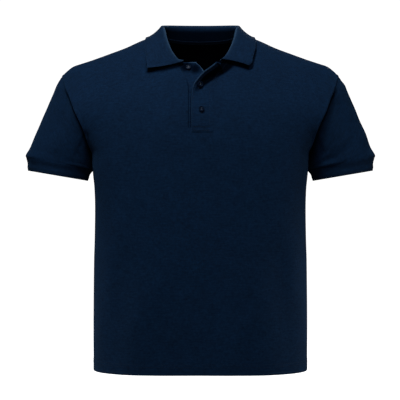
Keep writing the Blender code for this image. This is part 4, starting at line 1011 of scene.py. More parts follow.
def ring_axis(ring, side):
    """The direction an oval ring looks in, down and out of the sleeve."""
    slope = dict(zip(RING_COLUMNS, ring))["slope"]
    return np.array([side * math.sin(slope), 0.0, -math.cos(slope)])


def armhole_loop(side):
    """The whole armhole, from the shoulder point down the front to the underarm and up the back."""
    front, back = armhole_curve("front"), armhole_curve("back")
    return np.concatenate([front, back[-2:0:-1]]) * (side, 1, 1)


def sleeve_starts(side):
    """How a sleeve leaves each point of its armhole: the direction, as long as the cloth keeps to it."""
    station = np.linspace(0, 1, ARMHOLE_CELLS + 1)
    front = looked_up(SLEEVE_START["front"], SLEEVE_START_COLUMNS, "station", station)
    back = looked_up(SLEEVE_START["back"], SLEEVE_START_COLUMNS, "station", station)
    found = {name: np.concatenate([front[name], back[name][-2:0:-1]]) for name in front}
    way = unit(np.stack([side * found["out"], found["back"], -found["down"]], axis=1))
    return way * found["reach"][:, None]


def scaled_folds(folds):
    """A sleeve's folds, with widths as shares of its girth instead of metres."""
    return [(*place, width / SLEEVE_GIRTH, height) for *place, width, height in folds]


def sleeve_sheet(side):
    """A sleeve's grid: rows run from the armhole to the cuff, columns round it from the shoulder point."""
    loop = armhole_loop(side)
    turn = np.arange(len(loop)) / len(loop)
    end = ring_points(SLEEVE_END_RING, side, turn)
    run = np.linalg.norm(end - loop, axis=1)[:, None]
    start_pull = sleeve_starts(side)
    straight, turned = unit(end - loop), ring_axis(SLEEVE_END_RING, side)
    arriving = unit((1 - SLEEVE_END_TURN) * straight + SLEEVE_END_TURN * turned)
    end_pull = SLEEVE_END_PULL * run * arriving
    middle = np.array([side * SLEEVE_END_RING[0], SLEEVE_Y, 0])
    folds = scaled_folds(SLEEVE_FOLDS[side] + SLEEVE_CREASES[side])
    # Folds that end near turn 1 are felt beyond the shoulder point, near turn 0, as well.
    folds += [(a - 1, b, c - 1, d, width, rise) for a, b, c, d, width, rise in folds if max(a, c) > 0.9]
    rows = []
    for row in range(SLEEVE_CELLS + 1):
        t = 1 - (1 - row / SLEEVE_CELLS) ** SLEEVE_GRADING
        ring = hermite(loop, start_pull, end, end_pull, t)
        away = unit((ring - middle) * np.array([1, 1, 0]))
        away[:, 0] *= np.where(side * (ring[:, 0] - middle[0]) < 0, SLEEVE_INNER_SHARE, 1)
        sewn = min(1.0, t / SLEEVE_SEWN_TOP, (1 - t) / SLEEVE_SEWN_END)
        puff = SLEEVE_BLOUSING * bell(t - SLEEVE_BLOUSING_AT, SLEEVE_BLOUSING_REACH)
        puff = puff * (SLEEVE_BLOUSING_LEAST + (1 - SLEEVE_BLOUSING_LEAST) * np.cos(2 * math.pi * turn) ** 2)
        place = np.full(len(turn), t)
        uneven = RIPPLE_HEIGHT * ripple(SLEEVE_GIRTH * turn + side, SLEEVE_LENGTH * place)
        lift = sewn * (puff + fold_height(turn, place, folds) + uneven)
        rows.append(leaned_in(ring + away * lift[:, None], side))
    return Sheet(rows, closed=True, flip=side < 0)


def cuff_sheet(side):
    """A cuff's grid: rows run from the sleeve's end to the hem, columns as the sleeve's."""
    turn = np.arange(2 * ARMHOLE_CELLS) / (2 * ARMHOLE_CELLS)
    top = ring_points(SLEEVE_END_RING, side, turn)
    bottom = ring_points(CUFF_HEM_RING, side, turn)
    rows = []
    for row in range(CUFF_CELLS + 1):
        t = row / CUFF_CELLS
        drawn_in = CUFF_DRAWN_IN * math.sin(math.pi * min(1.0, t / (2 * CUFF_DRAWN_AT)))
        ring = top + (bottom - top) * t
        away = unit(ring - ring.mean(axis=0))
        rows.append(leaned_in(ring - away * drawn_in, side))
    return Sheet(rows, closed=True, flip=side < 0, thickness=RIB_THICKNESS)


def neck_stations(side):
    """Stations of the collar from the shoulder seam to its front end, with the points of the neckline."""
    corner = window_corner_x(side)
    sewn = neck_curve("front", NECK_HALF, corner, NECK_CELLS)
    last = neck_curve("front", corner, COLLAR_END_X[side], END_CELLS)
    place = np.concatenate([sewn, last[1:]])
    run = run_lengths(place)
    return 1 + run / run[-1], place


def collar_side(side, placket):
    """For one side, from the middle of the back to the front end: the neck seam, fold and leaf edge."""
    turned = side, 1, 1
    back = neck_curve("back", NECK_HALF, 0.0, NECK_CELLS)[::-1]
    station, front = neck_stations(side)
    stations = np.concatenate([np.arange(NECK_CELLS) / NECK_CELLS, station])
    back_seam = torso_points(side * back[:-1, 0], back[:-1, 2], "back")
    front_seam = torso_points(side * front[:, 0], front[:, 2], "front")
    front_seam[NECK_CELLS + 1 :] = placket.points[-1, 2 : END_CELLS + 2]
    size = looked_up(COLLAR + (COLLAR_END[side],), COLLAR_COLUMNS, "station", stations)
    fold, leaf = (
        np.stack([size[line + axis] for axis in "xyz"], axis=1) * turned for line in ("fold_", "leaf_")
    )
    leaf += ease(stations, *LEAF_TRIM_STATIONS)[:, None] * np.array(LEAF_TRIM[side])
    late = np.clip((stations - COLLAR_DROOP_FROM) / (2 - COLLAR_DROOP_FROM), 0, 1)
    droop = COLLAR_END_DROOP[side] * late**2
    return np.concatenate([back_seam, front_seam]), fold, leaf, size["bulge"], droop


def collar_profile(seam, fold, leaf, bulge, droop, outwards):
    """The collar's hidden side at one station: up the back of the stand, round the fold, under the fall."""
    up = unit(fold - seam)
    out = unit(outwards - up * (outwards @ up))
    height = np.linalg.norm(fold - seam)
    radius = min(FOLD_RADIUS, 0.5 * (height - RIB_THICKNESS))
    top = fold - (radius + RIB_THICKNESS) * up
    stand = [seam + (top - seam) * n / STAND_CELLS for n in range(STAND_CELLS)]
    centre = top + radius * out
    chord = leaf - centre
    last = math.atan2(chord @ out, chord @ up) - math.atan2(4 * bulge, np.linalg.norm(chord))
    turn = [last * n / FOLD_CELLS for n in range(FOLD_CELLS + 1)]
    over = [centre + radius * (-math.cos(a) * out + math.sin(a) * up) for a in turn]
    start = over[-1]
    raised = unit(outwards - unit(chord) * (outwards @ unit(chord)))
    fall = []
    for n in range(1, LEAF_CELLS + 1):
        t = n / LEAF_CELLS
        arch = 4 * t * (1 - t)
        fall.append(start + (leaf - start) * t + arch * (bulge * raised - np.array([0, 0, droop])))
    return stand, over + fall


def clear_of_panels(points, side):
    """The turned-over part of a collar's half, moved out where it would touch a panel or a placket."""
    x, z = side * points[..., 0], points[..., 2]
    lap = np.abs(opening_x(side, z)) + PLACKET_LAP + FALL_MARGIN
    over_placket = np.clip((lap - x) / FALL_MARGIN, 0, 1) * (points[..., 1] < RIDGE_Y)
    clearance = FALL_CLEARANCE + over_placket * max(PLACKET_LEVEL["upper" if side > 0 else "under"], 0)
    return clear_of_torso(points, clearance)


def collar_sheet(upper, under):
    """The collar's grid: rows run from the neck seam to the edge of the fall, columns round the neck."""
    left, right = collar_side(-1, under), collar_side(1, upper)
    seam, fold, leaf, bulge, droop = (np.concatenate([a[:0:-1], b]) for a, b in zip(left, right))
    outwards = unit(np.cross(np.gradient(fold, axis=0), leaf - fold))
    profiles = [collar_profile(*station) for station in zip(seam, fold, leaf, bulge, droop, outwards)]
    stand = np.array([profile[0] for profile in profiles])
    turned = np.array([profile[1] for profile in profiles])
    middle = len(left[0]) - 1
    turned = np.concatenate([clear_of_panels(turned[:middle], -1), clear_of_panels(turned[middle:], 1)])
    points = np.concatenate([stand, turned], axis=1)
    return Sheet(points.transpose(1, 0, 2), thickness=RIB_THICKNESS, flip=True)


def placket_columns(which, z):
    """The x of each of a placket's columns, from its sewn edge to its free one, at as many heights."""
    at = opening_at(z)
    sewn = at["right_x" if which == "upper" else "left_x"]
    bend, edge = at[which + "_bend_x"], at[which + "_edge_x"]
    attached = np.clip(np.arange(len(z)) / END_CELLS, 0, 1)
    free = np.clip((np.arange(len(z)) - END_CELLS) / PLACKET_FREE_CELLS, 0, 1)
    return sewn + (bend - sewn) * attached + (edge - bend) * free


def placket_sheet(which):
    """A placket's grid: rows run up to the neckline, columns from the sewn edge's lap to the free edge."""
    side = 1 if which == "upper" else -1
    corner = np.array(UPPER_CORNER if which == "upper" else UNDER_CORNER)
    _, neck = neck_stations(side)
    neck = neck[NECK_CELLS:, [0, 2]] * np.array([side, 1])
    free = np.linspace(0, 1, PLACKET_FREE_CELLS + 1)[1:, None]
    top = np.concatenate([neck, neck[-1] + free * (corner - neck[-1])])
    to_neck = top[:, 0] - placket_columns(which, top[:, 1])
    rows, lifts = [], []
    for row in range(PLACKET_ROWS + 1):
        v = 1 - (1 - row / PLACKET_ROWS) ** PLACKET_GRADING
        z = PLACKET_BOTTOM_Z + (top[:, 1] - PLACKET_BOTTOM_Z) * v
        x = placket_columns(which, z) + to_neck * v**PLACKET_NECK_POWER
        x = np.concatenate([[x[0] + side * PLACKET_LAP], x])
        z = np.concatenate([[z[0]], z])
        rows.append(torso_points(x, z, "front"))
        curl = np.concatenate([np.zeros(END_CELLS + 2), free[:, 0] ** PLACKET_CURL_POWER])
        lifts.append(curl * opening_at(z)[which + "_lift"])
    sheet = Sheet(rows, thickness=PLACKET_THICKNESS, flip=which == "upper")
    sheet.points += PLACKET_LEVEL[which] * sheet.normals
    sheet.points[..., 1] -= np.array(lifts)
    sheet.normals = sheet.measured_normals()
    return sheet


def tape_sheet(back):
    """The neck tape: it lies inside the back of the neck, on the inner face of the back panel."""
    middle = back.points.shape[1] // 2
    reach = round(NECK_CELLS * TAPE_REACH)
    depths = np.linspace(TAPE_DEPTHS[0], TAPE_DEPTHS[-1], TAPE_CELLS + 1)
    lines = []
    for column_ in range(middle - reach, middle + reach + 1):
        outer, facing = back.points[::-1, column_], back.normals[::-1, column_]
        inner = outer - back.thickness * facing
        run = run_lengths(inner)
        out = unit(np.stack([np.interp(depths, run, facing[:, axis]) for axis in range(3)], axis=1))
        lines.append(along_line(inner, depths) - TAPE_CLEARANCE * out)
    return Sheet(np.array(lines).transpose(1, 0, 2)[::-1], thickness=TAPE_THICKNESS, flip=True)


def press_panel(sheet):
    """Presses a body panel's seams in and its hem flat, and raises the allowance beside the armholes."""
    sheet.roundness[0, 1:-1] = HEM_ROUNDNESS
    hem, top = sheet.from_edge((0, 0)), sheet.from_edge((0, -1))
    side_seams = np.minimum(sheet.from_edge((1, 0)), sheet.from_edge((1, -1)))
    outwards = np.abs(np.arange(sheet.points.shape[1]) - sheet.points.shape[1] // 2)
    shoulder = ease(outwards, NECK_CELLS, NECK_CELLS + SHOULDER_SEAM_FADE)
    depth = SEAM_DEPTH * bell(side_seams, SEAM_WIDTH)
    depth += SEAM_DEPTH * bell(top, SEAM_WIDTH) * shoulder
    armhole = np.clip((sheet.points[..., 2] - UNDERARM_Z) / ALLOWANCE_RISE, 0, 1)
    allowance = ease(side_seams, 0, SEAM_WIDTH) * ease(ALLOWANCE_WIDTH - side_seams, 0, ALLOWANCE_EDGE)
    depth -= ALLOWANCE_HEIGHT * allowance * armhole
    depth -= HEM_STEP * ease(HEM_DEPTH - hem, 0, HEM_STEP_WIDTH)
    sheet.sink(depth)


def press_sleeve(sleeve, cuff):
    """Presses a sleeve's seams in, and lets it fall away beside the armhole."""
    away, under = sleeve.from_edge((0, 0)), towards_underarm(sleeve)
    crease = ease(away, 0, CREASE_DEEPEST) * (1 - ease(away, CREASE_DEEPEST, CREASE_END))
    sleeve.sink(CREASE_DEPTH * crease * ease(under, *CREASE_FROM) * (1 - ease(under, *CREASE_TO)))
    for sheet, end in ((sleeve, 0), (sleeve, -1), (cuff, 0)):
        sheet.sink(SEAM_DEPTH * bell(sheet.from_edge((0, end)), SEAM_WIDTH))
    cuff.roundness[-1] = RIM_ROUNDNESS
    sleeve.trim((0, EVERY), (-1, EVERY))
    cuff.trim((0, EVERY))


def press_placket(sheet):
    """Rounds a placket's free edges, and draws its lap back below the neck seam."""
    sheet.roundness[:, -1] = sheet.roundness[0, 1:] = RIM_ROUNDNESS
    sheet.roundness[-1, END_CELLS + 2 :] = RIM_ROUNDNESS
    for column_ in range(LAP_COLUMNS):
        short = PLACKET_BELOW_SEAM * min(1.0, (LAP_COLUMNS - column_) / 4)
        sheet.draw_back((slice(None, None, -1), column_), short, MAKE_ROOM)
    sheet.trim((-1, EVERY))


def cut_shirt():
    """Every sheet of the shirt by name, with the seams pressed in and the free edges marked to be rounded."""
    front, back = front_sheet(), back_sheet()
    sleeves = {side: sleeve_sheet(side) for side in (-1, 1)}
    cuffs = {side: cuff_sheet(side) for side in (-1, 1)}
    upper, under = placket_sheet("upper"), placket_sheet("under")
    collar = collar_sheet(upper, under)
    share_normals([front, back, collar, *sleeves.values(), *cuffs.values(), upper, under])

    press_panel(front)
    press_panel(back)
    tape = tape_sheet(back)
    for sheet in (front, back):
        sheet.trim((EVERY, 0), (EVERY, -1), (-1, EVERY))
    edge = NECK_CELLS + SHOULDER_CELLS
    for row in range(WINDOW_ROW, front.points.shape[0]):
        front.draw_back((row, slice(edge, None, -1)), WINDOW_EASE, WINDOW_ROOM)
        front.draw_back((row, slice(edge + 2, None)), WINDOW_EASE, WINDOW_ROOM)
    for side, sleeve in sleeves.items():
        press_sleeve(sleeve, cuffs[side])
    upper.sink(np.full(upper.points.shape[:2], PLACKET_PRESSED))
    press_placket(upper)
    press_placket(under)
    collar.roundness[-1] = collar.roundness[STAND_CELLS:, [0, -1]] = RIM_ROUNDNESS
    raised = np.clip(opening_at(upper.points[:, -1, 2])["upper_lift"] / FLAP_LIFT_FULL, 0, 1)
    upper.roundness[:, -1] += (FLAP_ROUNDNESS - RIM_ROUNDNESS) * raised
    near = 1 - ease(upper.from_edge((1, -1)), FLAP_SWELL_REACH / 3, FLAP_SWELL_REACH)
    upper.swell = FLAP_SWELL * (near * raised[:, None])
    shade_collar(collar)
    # The tape gets painted shade.
    tape.outer_gloom[:] = tape.inner_gloom[:] = TAPE_GLOOM
    collar.trim((0, EVERY))
    for row in range(STAND_CELLS):
        short = STAND_EASE * min(1.0, 3 * (1 - row / STAND_CELLS))
        collar.draw_back((row, slice(None, None, -1)), short, MAKE_ROOM)
    shade_sleeves(sleeves, cuffs)
    shade_front(front, upper, under, collar)
    paint_highlights(under, collar)
    sheets = {"front": front, "back": back, "collar": collar, "neck_tape": tape}
    sheets.update(placket_upper=upper, placket_under=under)
    for side, word in ((-1, "right"), (1, "left")):
        sheets.update({"sleeve_" + word: sleeves[side], "cuff_" + word: cuffs[side]})
    return sheets


def towards_underarm(sleeve):
    """0 at the shoulder point of a sleeve's ring and 1 at the underarm."""
    turn = np.arange(sleeve.points.shape[1]) / sleeve.points.shape[1]
    return (1 - np.cos(2 * math.pi * turn)) / 2


def shade_collar(collar):
    """Paints shade on the hidden side of the collar and on its stand up to its ends, and a highlight along its
    fold.
    """
    collar.outer_gloom[:] = 1
    rows = np.arange(collar.points.shape[0])[:, None]
    turned_over = ease(rows, STAND_CELLS - 4, STAND_CELLS)
    from_end = np.minimum(collar.from_edge((1, 0)), collar.from_edge((1, -1)))
    collar.inner_gloom = STAND_GLOOM * (1 - turned_over) * ease(from_end, *STAND_GLOOM_ENDS)
    # A painted highlight along the crest of the fold.
    crest = rows - STAND_CELLS - FOLD_CREST * FOLD_CELLS
    fold_highlight = FOLD_HIGHLIGHT[0] + (FOLD_HIGHLIGHT[1] - FOLD_HIGHLIGHT[0]) * (1 - ease(from_end, *FOLD_HIGHLIGHT_ENDS))
    collar.inner_gloom -= fold_highlight * bell(crest, FOLD_CREST_WIDTH * FOLD_CELLS)


def shade_sleeves(sleeves, cuffs):
    """Paints shade on the sleeves beside the armhole, most at the underarm, and on the cuffs, most on their
    side by the body.
    """
    for side, sleeve in sleeves.items():
        under = towards_underarm(sleeve)
        least, most, power = ARMHOLE_REACH[side]
        near = np.exp(-((sleeve.from_edge((0, 0)) / (least + (most - least) * under**power)) ** 3))
        sleeve.outer_gloom = ARMHOLE_GLOOM * near * ease(under, *ARMHOLE_GLOOM_FROM)
        inner = ease(towards_underarm(cuffs[side]), *CUFF_INNER)
        cuffs[side].outer_gloom[:] = CUFF_GLOOM + CUFF_INNER_GLOOM * inner


def shade_front(front, upper, under, collar):
    """Paints shade on the chest and the plackets in the valley beside the flap, in hollows and below the
    collar, and a highlight on the flap's rim.
    """
    valley_z, valley_x = np.array(VALLEY).T
    for sheet in (front, upper):
        x, z = sheet.points[..., 0], sheet.points[..., 2]
        rim, end = opening_at(z)["upper_edge_x"], np.interp(z, valley_z, valley_x)
        within = ease(x, rim + FLAP_RIM[0], rim + FLAP_RIM[1])
        within = within * (1 - ease(x, end - FLAP_EDGE, end + FLAP_EDGE))
        sheet.outer_gloom = FLAP_GLOOM * within * ease(z, *FLAP_HEIGHTS)
    # A painted highlight along the rim of the flap.
    at_rim = 1 - ease(upper.from_edge((1, -1)), *FLAP_HIGHLIGHT_RIM)
    upper.outer_gloom -= FLAP_HIGHLIGHT * at_rim * ease(upper.points[..., 2], *FLAP_HIGHLIGHT_HEIGHTS)

    line = bell(upper.from_edge((0, 0)) - BOX_HEIGHT - BOX_LINE_LIFT, BOX_LINE_WIDTH)
    line[:, :3] = line[:, -3:] = 0
    upper.darken_to(BOX_GLOOM * line)
    x, z = under.points[..., 0], under.points[..., 2]
    for middle_x, middle_z, wide, high, gloom in HOLLOW_SHADOWS:
        off = ((x - middle_x) / wide) ** 2 + ((z - middle_z) / high) ** 2
        under.darken_to(gloom * np.exp(-(off**2)))
    at, low = opening_at(z), 1 - ease(z, *CHANNEL_TOP)
    for edge, (gloom, reach) in CHANNEL.items():
        under.darken_to(gloom * bell(x - at[edge], reach) * low)

    for side, end, placket in ((-1, 0, under), (1, -1, upper)):
        edge = collar.points[STAND_CELLS + FOLD_CELLS :, end]
        edge = edge[np.argsort(side * edge[:, 0])]
        edge_x = side * edge[:, 0]
        for sheet in (front, placket):
            x = side * sheet.points[..., 0]
            below = np.interp(x, edge_x, edge[:, 2]) - sheet.points[..., 2]
            beside = ease(x, edge_x[0] - LEAF_INNER[0], edge_x[0] - LEAF_INNER[1])
            beside = beside * (1 - ease(x, edge_x[-1] - LEAF_OUTER[0], edge_x[-1] + LEAF_OUTER[1]))
            sheet.darken_to(LEAF_GLOOM * beside * (1 - ease(below, *LEAF_REACH)))


def paint_highlights(under, collar):
    """Paints highlights on the free edges of the under placket's top and on the end of the stand, over any
    painted shade there.
    """
    edge = np.minimum(under.from_edge((1, -1)), under.from_edge((0, -1)))
    at_rim = 1 - ease(edge, *UNDER_HIGHLIGHT_RIM)
    under.outer_gloom -= UNDER_HIGHLIGHT * at_rim * ease(under.points[..., 2], *UNDER_HIGHLIGHT_HEIGHTS)
    at_end = 1 - ease(collar.from_edge((1, -1)), *STAND_HIGHLIGHT_END)
    on_stand = ease(STAND_CELLS + 1 - np.arange(collar.points.shape[0]), 0, 1)[:, None]
    collar.inner_gloom -= STAND_HIGHLIGHT * (at_end * on_stand)


# ---------------------------------------------------------------- sewing and buttons


def bead():
    """A short stitch along +X, one unit long, wide and high, whose ends dip into the cloth."""
    points, faces = [], []
    for x, size, rise in BEAD:
        for n in range(BEAD_SIDES):
            turn = 2 * math.pi * n / BEAD_SIDES
            points.append((x, 0.5 * size * math.cos(turn), 0.5 * size * math.sin(turn) + rise))
    last = (len(BEAD) - 1) * BEAD_SIDES
    for ring in range(0, last, BEAD_SIDES):
        for n in range(BEAD_SIDES):
            a, b = ring + n, ring + (n + 1) % BEAD_SIDES
            faces.append((a, b, b + BEAD_SIDES, a + BEAD_SIDES))
    faces.append(tuple(range(BEAD_SIDES - 1, -1, -1)))
    faces.append(tuple(range(last, last + BEAD_SIDES)))
    return np.array(points), faces


def beads(name, places, ways, facings, length, width, material):
    """One object of many stitches, each at its place, along its way, on cloth that faces its facing."""
    shape, faces = bead()
    ways = unit(ways - facings * np.sum(ways * facings, axis=1, keepdims=True))
    sides = np.cross(facings, ways)
    length = np.broadcast_to(length, len(places))[:, None, None]
    points = (
        places[:, None]
        + length * shape[:, 0, None] * ways[:, None]
        + width * shape[:, 1, None] * sides[:, None]
        + width * shape[:, 2, None] * facings[:, None]
    )
    count = len(shape)
    every = [tuple(n + count * k for n in face) for k in range(len(places)) for face in faces]
    return mesh_object(name, points.reshape(-1, 3), every, material, sharp=None)


def spaced(line, facing):
    """Middles of stitches along a line, with the way it runs and the way the cloth faces there."""
    run = run_lengths(line)
    count = max(1, round(run[-1] / STITCH_PITCH))
    at = (np.arange(count) + 0.5) * run[-1] / count
    places = along_line(line, at)
    ahead = along_line(line, np.minimum(at + STITCH_AIM, run[-1]))
    behind = along_line(line, np.maximum(at - STITCH_AIM, 0))
    facings = unit(along_run(facing, run, at))
    return places, ahead - behind, facings


def sew(name, lines, material):
    """Straight stitching along several lines, each given with the directions the cloth faces."""
    found = [spaced(line, facing) for line, facing in lines]
    places, ways, facings = (np.concatenate(part) for part in zip(*found))
    return beads(name, places, ways, facings, STITCH_LENGTH, THREAD_WIDTH, material)


def cad_disc(node):
    """A CAD button's middle, the way its face looks, and its radius and height, from its mesh."""
    points = np.array([v.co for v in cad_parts[node].data.vertices], float).reshape(-1, 3)
    low, high = points.min(0), points.max(0)
    middle = (low + high) / 2
    _, _, axes = np.linalg.svd(points - points.mean(0), full_matrices=False)
    facing = axes[2] * (-1 if axes[2][1] > 0 else 1)
    height = (points - middle) @ facing
    radius = np.linalg.norm((points - middle) - height[:, None] * facing, axis=1).max()
    return middle + facing * (height.min() + height.max()) / 2, facing, radius, np.ptp(height)


def button_frame(facing):
    across = unit(np.cross(facing, [0.0, 0.0, 1.0]))
    return across, np.cross(across, facing)


def button_mesh(node, material):
    """A turned button with a rounded rim, a dished face and four drilled holes."""
    middle, facing, radius, height = cad_disc(node)
    across, upright = button_frame(facing)
    profile = np.array(BUTTON_PROFILE)
    run = run_lengths(profile)
    fine = along_line(profile, np.linspace(0, run[-1], BUTTON_RINGS + 1)[1:-1])
    turns = 2 * math.pi * np.arange(BUTTON_SIDES) / BUTTON_SIDES
    base = middle - facing * height / 2
    points, uv = [base + facing * height * profile[0, 1]], [(0.0, 0.0)]
    for ring, (share, level) in enumerate(fine):
        x, y = radius * share * np.cos(turns), radius * share * np.sin(turns)
        drop = np.zeros(BUTTON_SIDES)
        if level > 0.5 and share < DISH_SHARE:
            for hole_x in (-1, 1):
                for hole_y in (-1, 1):
                    away = np.hypot(x - hole_x * HOLE_PLACE, y - hole_y * HOLE_PLACE)
                    drop += 1 - ease(away, HOLE_RADIUS * 0.75, HOLE_RADIUS * 1.25)
        z = height * (level - 0.5 * drop)
        points += list(base + x[:, None] * across + y[:, None] * upright + z[:, None] * facing)
        uv += list(zip(x, y))
    points.append(base + facing * height * profile[-1, 1])
    uv.append((0.0, 0.0))
    rings, last = len(fine), len(points) - 1
    faces = []
    for n in range(BUTTON_SIDES):
        after = (n + 1) % BUTTON_SIDES
        faces.append((0, 1 + after, 1 + n))
        for ring in range(rings - 1):
            a = 1 + ring * BUTTON_SIDES
            faces.append((a + n, a + after, a + BUTTON_SIDES + after, a + BUTTON_SIDES + n))
        a = 1 + (rings - 1) * BUTTON_SIDES
        faces.append((a + n, a + after, last))
    corners = np.array([uv[n] for face in faces for n in face])
    return mesh_object(node + "_turned", points, faces, material, corners, sharp=math.radians(60))


def button_thread(node, material):
    """Two pairs of thread bars over a button's holes, each a few strands."""
    middle, facing, _, height = cad_disc(node)
    across, upright = button_frame(facing)
    places = []
    for hole_y in (-1, 1):
        for strand in (-1, 0, 1):
            aside = upright * (hole_y * HOLE_PLACE + strand * THREAD_WIDTH * 0.8)
            rise = height * 0.12 + THREAD_WIDTH * (0.35 - 0.3 * abs(strand))
            places.append(middle + aside + rise * facing)
    ways, facings = (np.repeat(way[None], len(places), axis=0) for way in (across, facing))
    length = 2 * HOLE_PLACE + HOLE_RADIUS
    return beads(node + "_thread", np.array(places), ways, facings, length, THREAD_WIDTH, material)


def buttonhole(name, sheet, middle, length, material):
    """A worked buttonhole: close stitches across both sides of a slit, and a bar at each end."""
    gap = np.linalg.norm(sheet.points - middle, axis=2)
    row, column_ = np.unravel_index(np.argmin(gap), gap.shape)
    first, last = max(row - HOLE_ROWS, 0), min(row + HOLE_ROWS, sheet.points.shape[0] - 1)
    line, facing = sheet.at(np.linspace(first, last, 2 * HOLE_ROWS + 1), column_)
    run = run_lengths(line)
    centre = run[np.argmin(np.linalg.norm(line - middle, axis=1))]
    count = round(length / HOLE_PITCH)
    at = centre + (np.arange(count) - (count - 1) / 2) * HOLE_PITCH
    spot = along_line(line, at)
    facings = unit(along_run(facing, run, at))
    along = unit(np.gradient(spot, axis=0))
    aside = unit(np.cross(facings, along))
    places = [spot + side * HOLE_ASIDE * aside for side in (-1, 1)]
    ways, sizes = [aside, aside], [np.full(count, HOLE_STITCH)] * 2
    for end in (0, -1):
        for strand in (-1, 0, 1):
            places.append((spot[end] + strand * BAR_PITCH * along[end])[None])
            ways.append(aside[end][None])
            sizes.append(np.full(1, BAR_LENGTH))
    facings = [facings, facings] + [facings[[end]] for end in (0, 0, 0, -1, -1, -1)]
    places, ways, facings, sizes = (np.concatenate(part) for part in (places, ways, facings, sizes))
    return beads(name, places, ways, facings, sizes, HOLE_THREAD, material)


# ---------------------------------------------------------------- finishes


class Wire:
    """A value socket that takes part in sums. Each operation on it adds a Math node."""

    def __init__(self, finish, socket):
        self.finish, self.socket = finish, socket

    def _with(self, operation, *values):
        return self.finish.node("ShaderNodeMath", {"operation": operation}, *values)["Value"]

    def __add__(self, other):
        return self._with("ADD", self, other)

    def __sub__(self, other):
        return self._with("SUBTRACT", self, other)

    def __rsub__(self, other):
        return self._with("SUBTRACT", other, self)

    def __mul__(self, other):
        return self._with("MULTIPLY", self, other)

    def __truediv__(self, other):
        return self._with("DIVIDE", self, other)

    __radd__ = __add__
    __rmul__ = __mul__

    def wave(self):
        return self._with("COSINE", self)

    def size(self):
        return self._with("ABSOLUTE", self)

    def above(self, least):
        return self._with("MAXIMUM", self, least)


class Outputs:
    """A node's output sockets by name, as wires."""

    def __init__(self, finish, node):
        self.finish, self.node = finish, node

    def __getitem__(self, name):
        return Wire(self.finish, self.node.outputs[name])


class Finish:
    """A material under construction."""

    def __init__(self, name):
        self.material = bpy.data.materials.new(name)
        self.material.use_nodes = True
        self.tree = self.material.node_tree
        self.shader = self.tree.nodes["Principled BSDF"]

    def feed(self, socket, value):
        if isinstance(value, Wire):
            self.tree.links.new(value.socket, socket)
        else:
            socket.default_value = value

    def node(self, kind, settings=None, *values, **sockets):
        """Adds a node. Its settings come first, then its sockets' values or links, in order or by name."""
        made = self.tree.nodes.new(kind)
        for name, value in (settings or {}).items():
            setattr(made, name, value)
        for socket, value in zip(made.inputs, values):
            self.feed(socket, value)
        for name, value in sockets.items():
            self.feed(made.inputs[name.replace("_", " ")], value)
        return Outputs(self, made)

    def surface(self, **sockets):
        for name, value in sockets.items():
            self.feed(self.shader.inputs[name.replace("_", " ")], value)
        return self.material

    def darken(self, share, colour):
        """Paints shade: mixes the surface by this share into plain matt cloth of a darker colour."""
        dark = self.node("ShaderNodeBsdfDiffuse", None, (*colour, 1.0), 1.0)["BSDF"]
        mixed = self.node("ShaderNodeMixShader", None, share, Wire(self, self.shader.outputs["BSDF"]), dark)
        self.feed(self.tree.nodes["Material Output"].inputs["Surface"], mixed["Shader"])

    def cloth_place(self):
        """Distances across and along the cloth, in metres."""
        place = self.node("ShaderNodeUVMap", {"uv_map": CLOTH_MAP})["UV"]
        parts = self.node("ShaderNodeSeparateXYZ", None, place)
        return parts["X"], parts["Y"]

    def noise(self, size, detail=2.0, roughness=0.5, place=None):
        """Noise from 0 to 1 whose patches are about so many metres across."""
        place = place or self.node("ShaderNodeTexCoord")["Object"]
        made = self.node(
            "ShaderNodeTexNoise",
            {"noise_dimensions": "3D"},
            Vector=place,
            Scale=1 / size,
            Detail=detail,
            Roughness=roughness,
        )
        return made["Fac"]

    def blend(self, share, first, second):
        """A colour between two others."""
        made = self.tree.nodes.new("ShaderNodeMix")
        made.data_type = "RGBA"
        self.feed(made.inputs["Factor"], share)
        for socket, value in ((made.inputs[6], first), (made.inputs[7], second)):
            self.feed(socket, value if isinstance(value, Wire) else (*value, 1.0))
        return Wire(self, made.outputs[2])

    def bump(self, height, distance, strength=1.0):
        """The surface's direction over this relief, whose full height is the distance in metres."""
        made = self.node("ShaderNodeBump", None, Strength=strength, Distance=distance, Height=height)
        return made["Normal"]


def shade(colour, share):
    return tuple(min(1.0, part * share) for part in colour)


def knit_finish(name, colour, relief, distance, roughness, sheen, knit, bloom):
    """Matt cotton with the relief of its knit, slightly uneven dye and a soft bloom at grazing angles."""
    finish = Finish(name)
    across, along = finish.cloth_place()
    height = relief(knit, across, along)
    fibre = finish.noise(FIBRE_SIZE, 3.0, 0.65)
    patchy = finish.noise(PATCH_SIZE, 3.0, 0.6) - 0.5
    heather = finish.noise(HEATHER_SIZE, 2.0, 0.6) - 0.5
    place = across / COURSE_SIZE[0], along / COURSE_SIZE[1], 0.0
    course = finish.noise(1.0, 2.0, 0.6, finish.node("ShaderNodeCombineXYZ", None, *place)["Vector"]) - 0.5
    tone = 0.5 + 0.2 * (height - 0.5) + 0.2 * (fibre - 0.5) + 0.35 * patchy + 0.9 * heather + 0.9 * course
    base = finish.blend(tone, shade(colour, 0.45), shade(colour, 1.55))
    normal = finish.bump(height + 0.35 * fibre, distance)
    gloom = finish.node("ShaderNodeAttribute", {"attribute_name": GLOOM_MAP})["Fac"]
    # Painted highlight: where the gloom map is below zero the colour turns towards a pale one.
    base = finish.blend((0 - gloom).above(0), base, HIGHLIGHT_COLOUR)
    # Painted shade: the gloom map mixes the cloth into a dark matt copy of itself.
    finish.darken(gloom, shade(colour, GLOOM_SHADE))
    return finish.surface(
        Base_Color=base,
        Roughness=roughness + 0.08 * (fibre - 0.5),
        Normal=normal,
        Specular_IOR_Level=0.09,
        Sheen_Weight=sheen,
        Sheen_Roughness=0.45,
        Sheen_Tint=(*bloom, 1.0),
    )


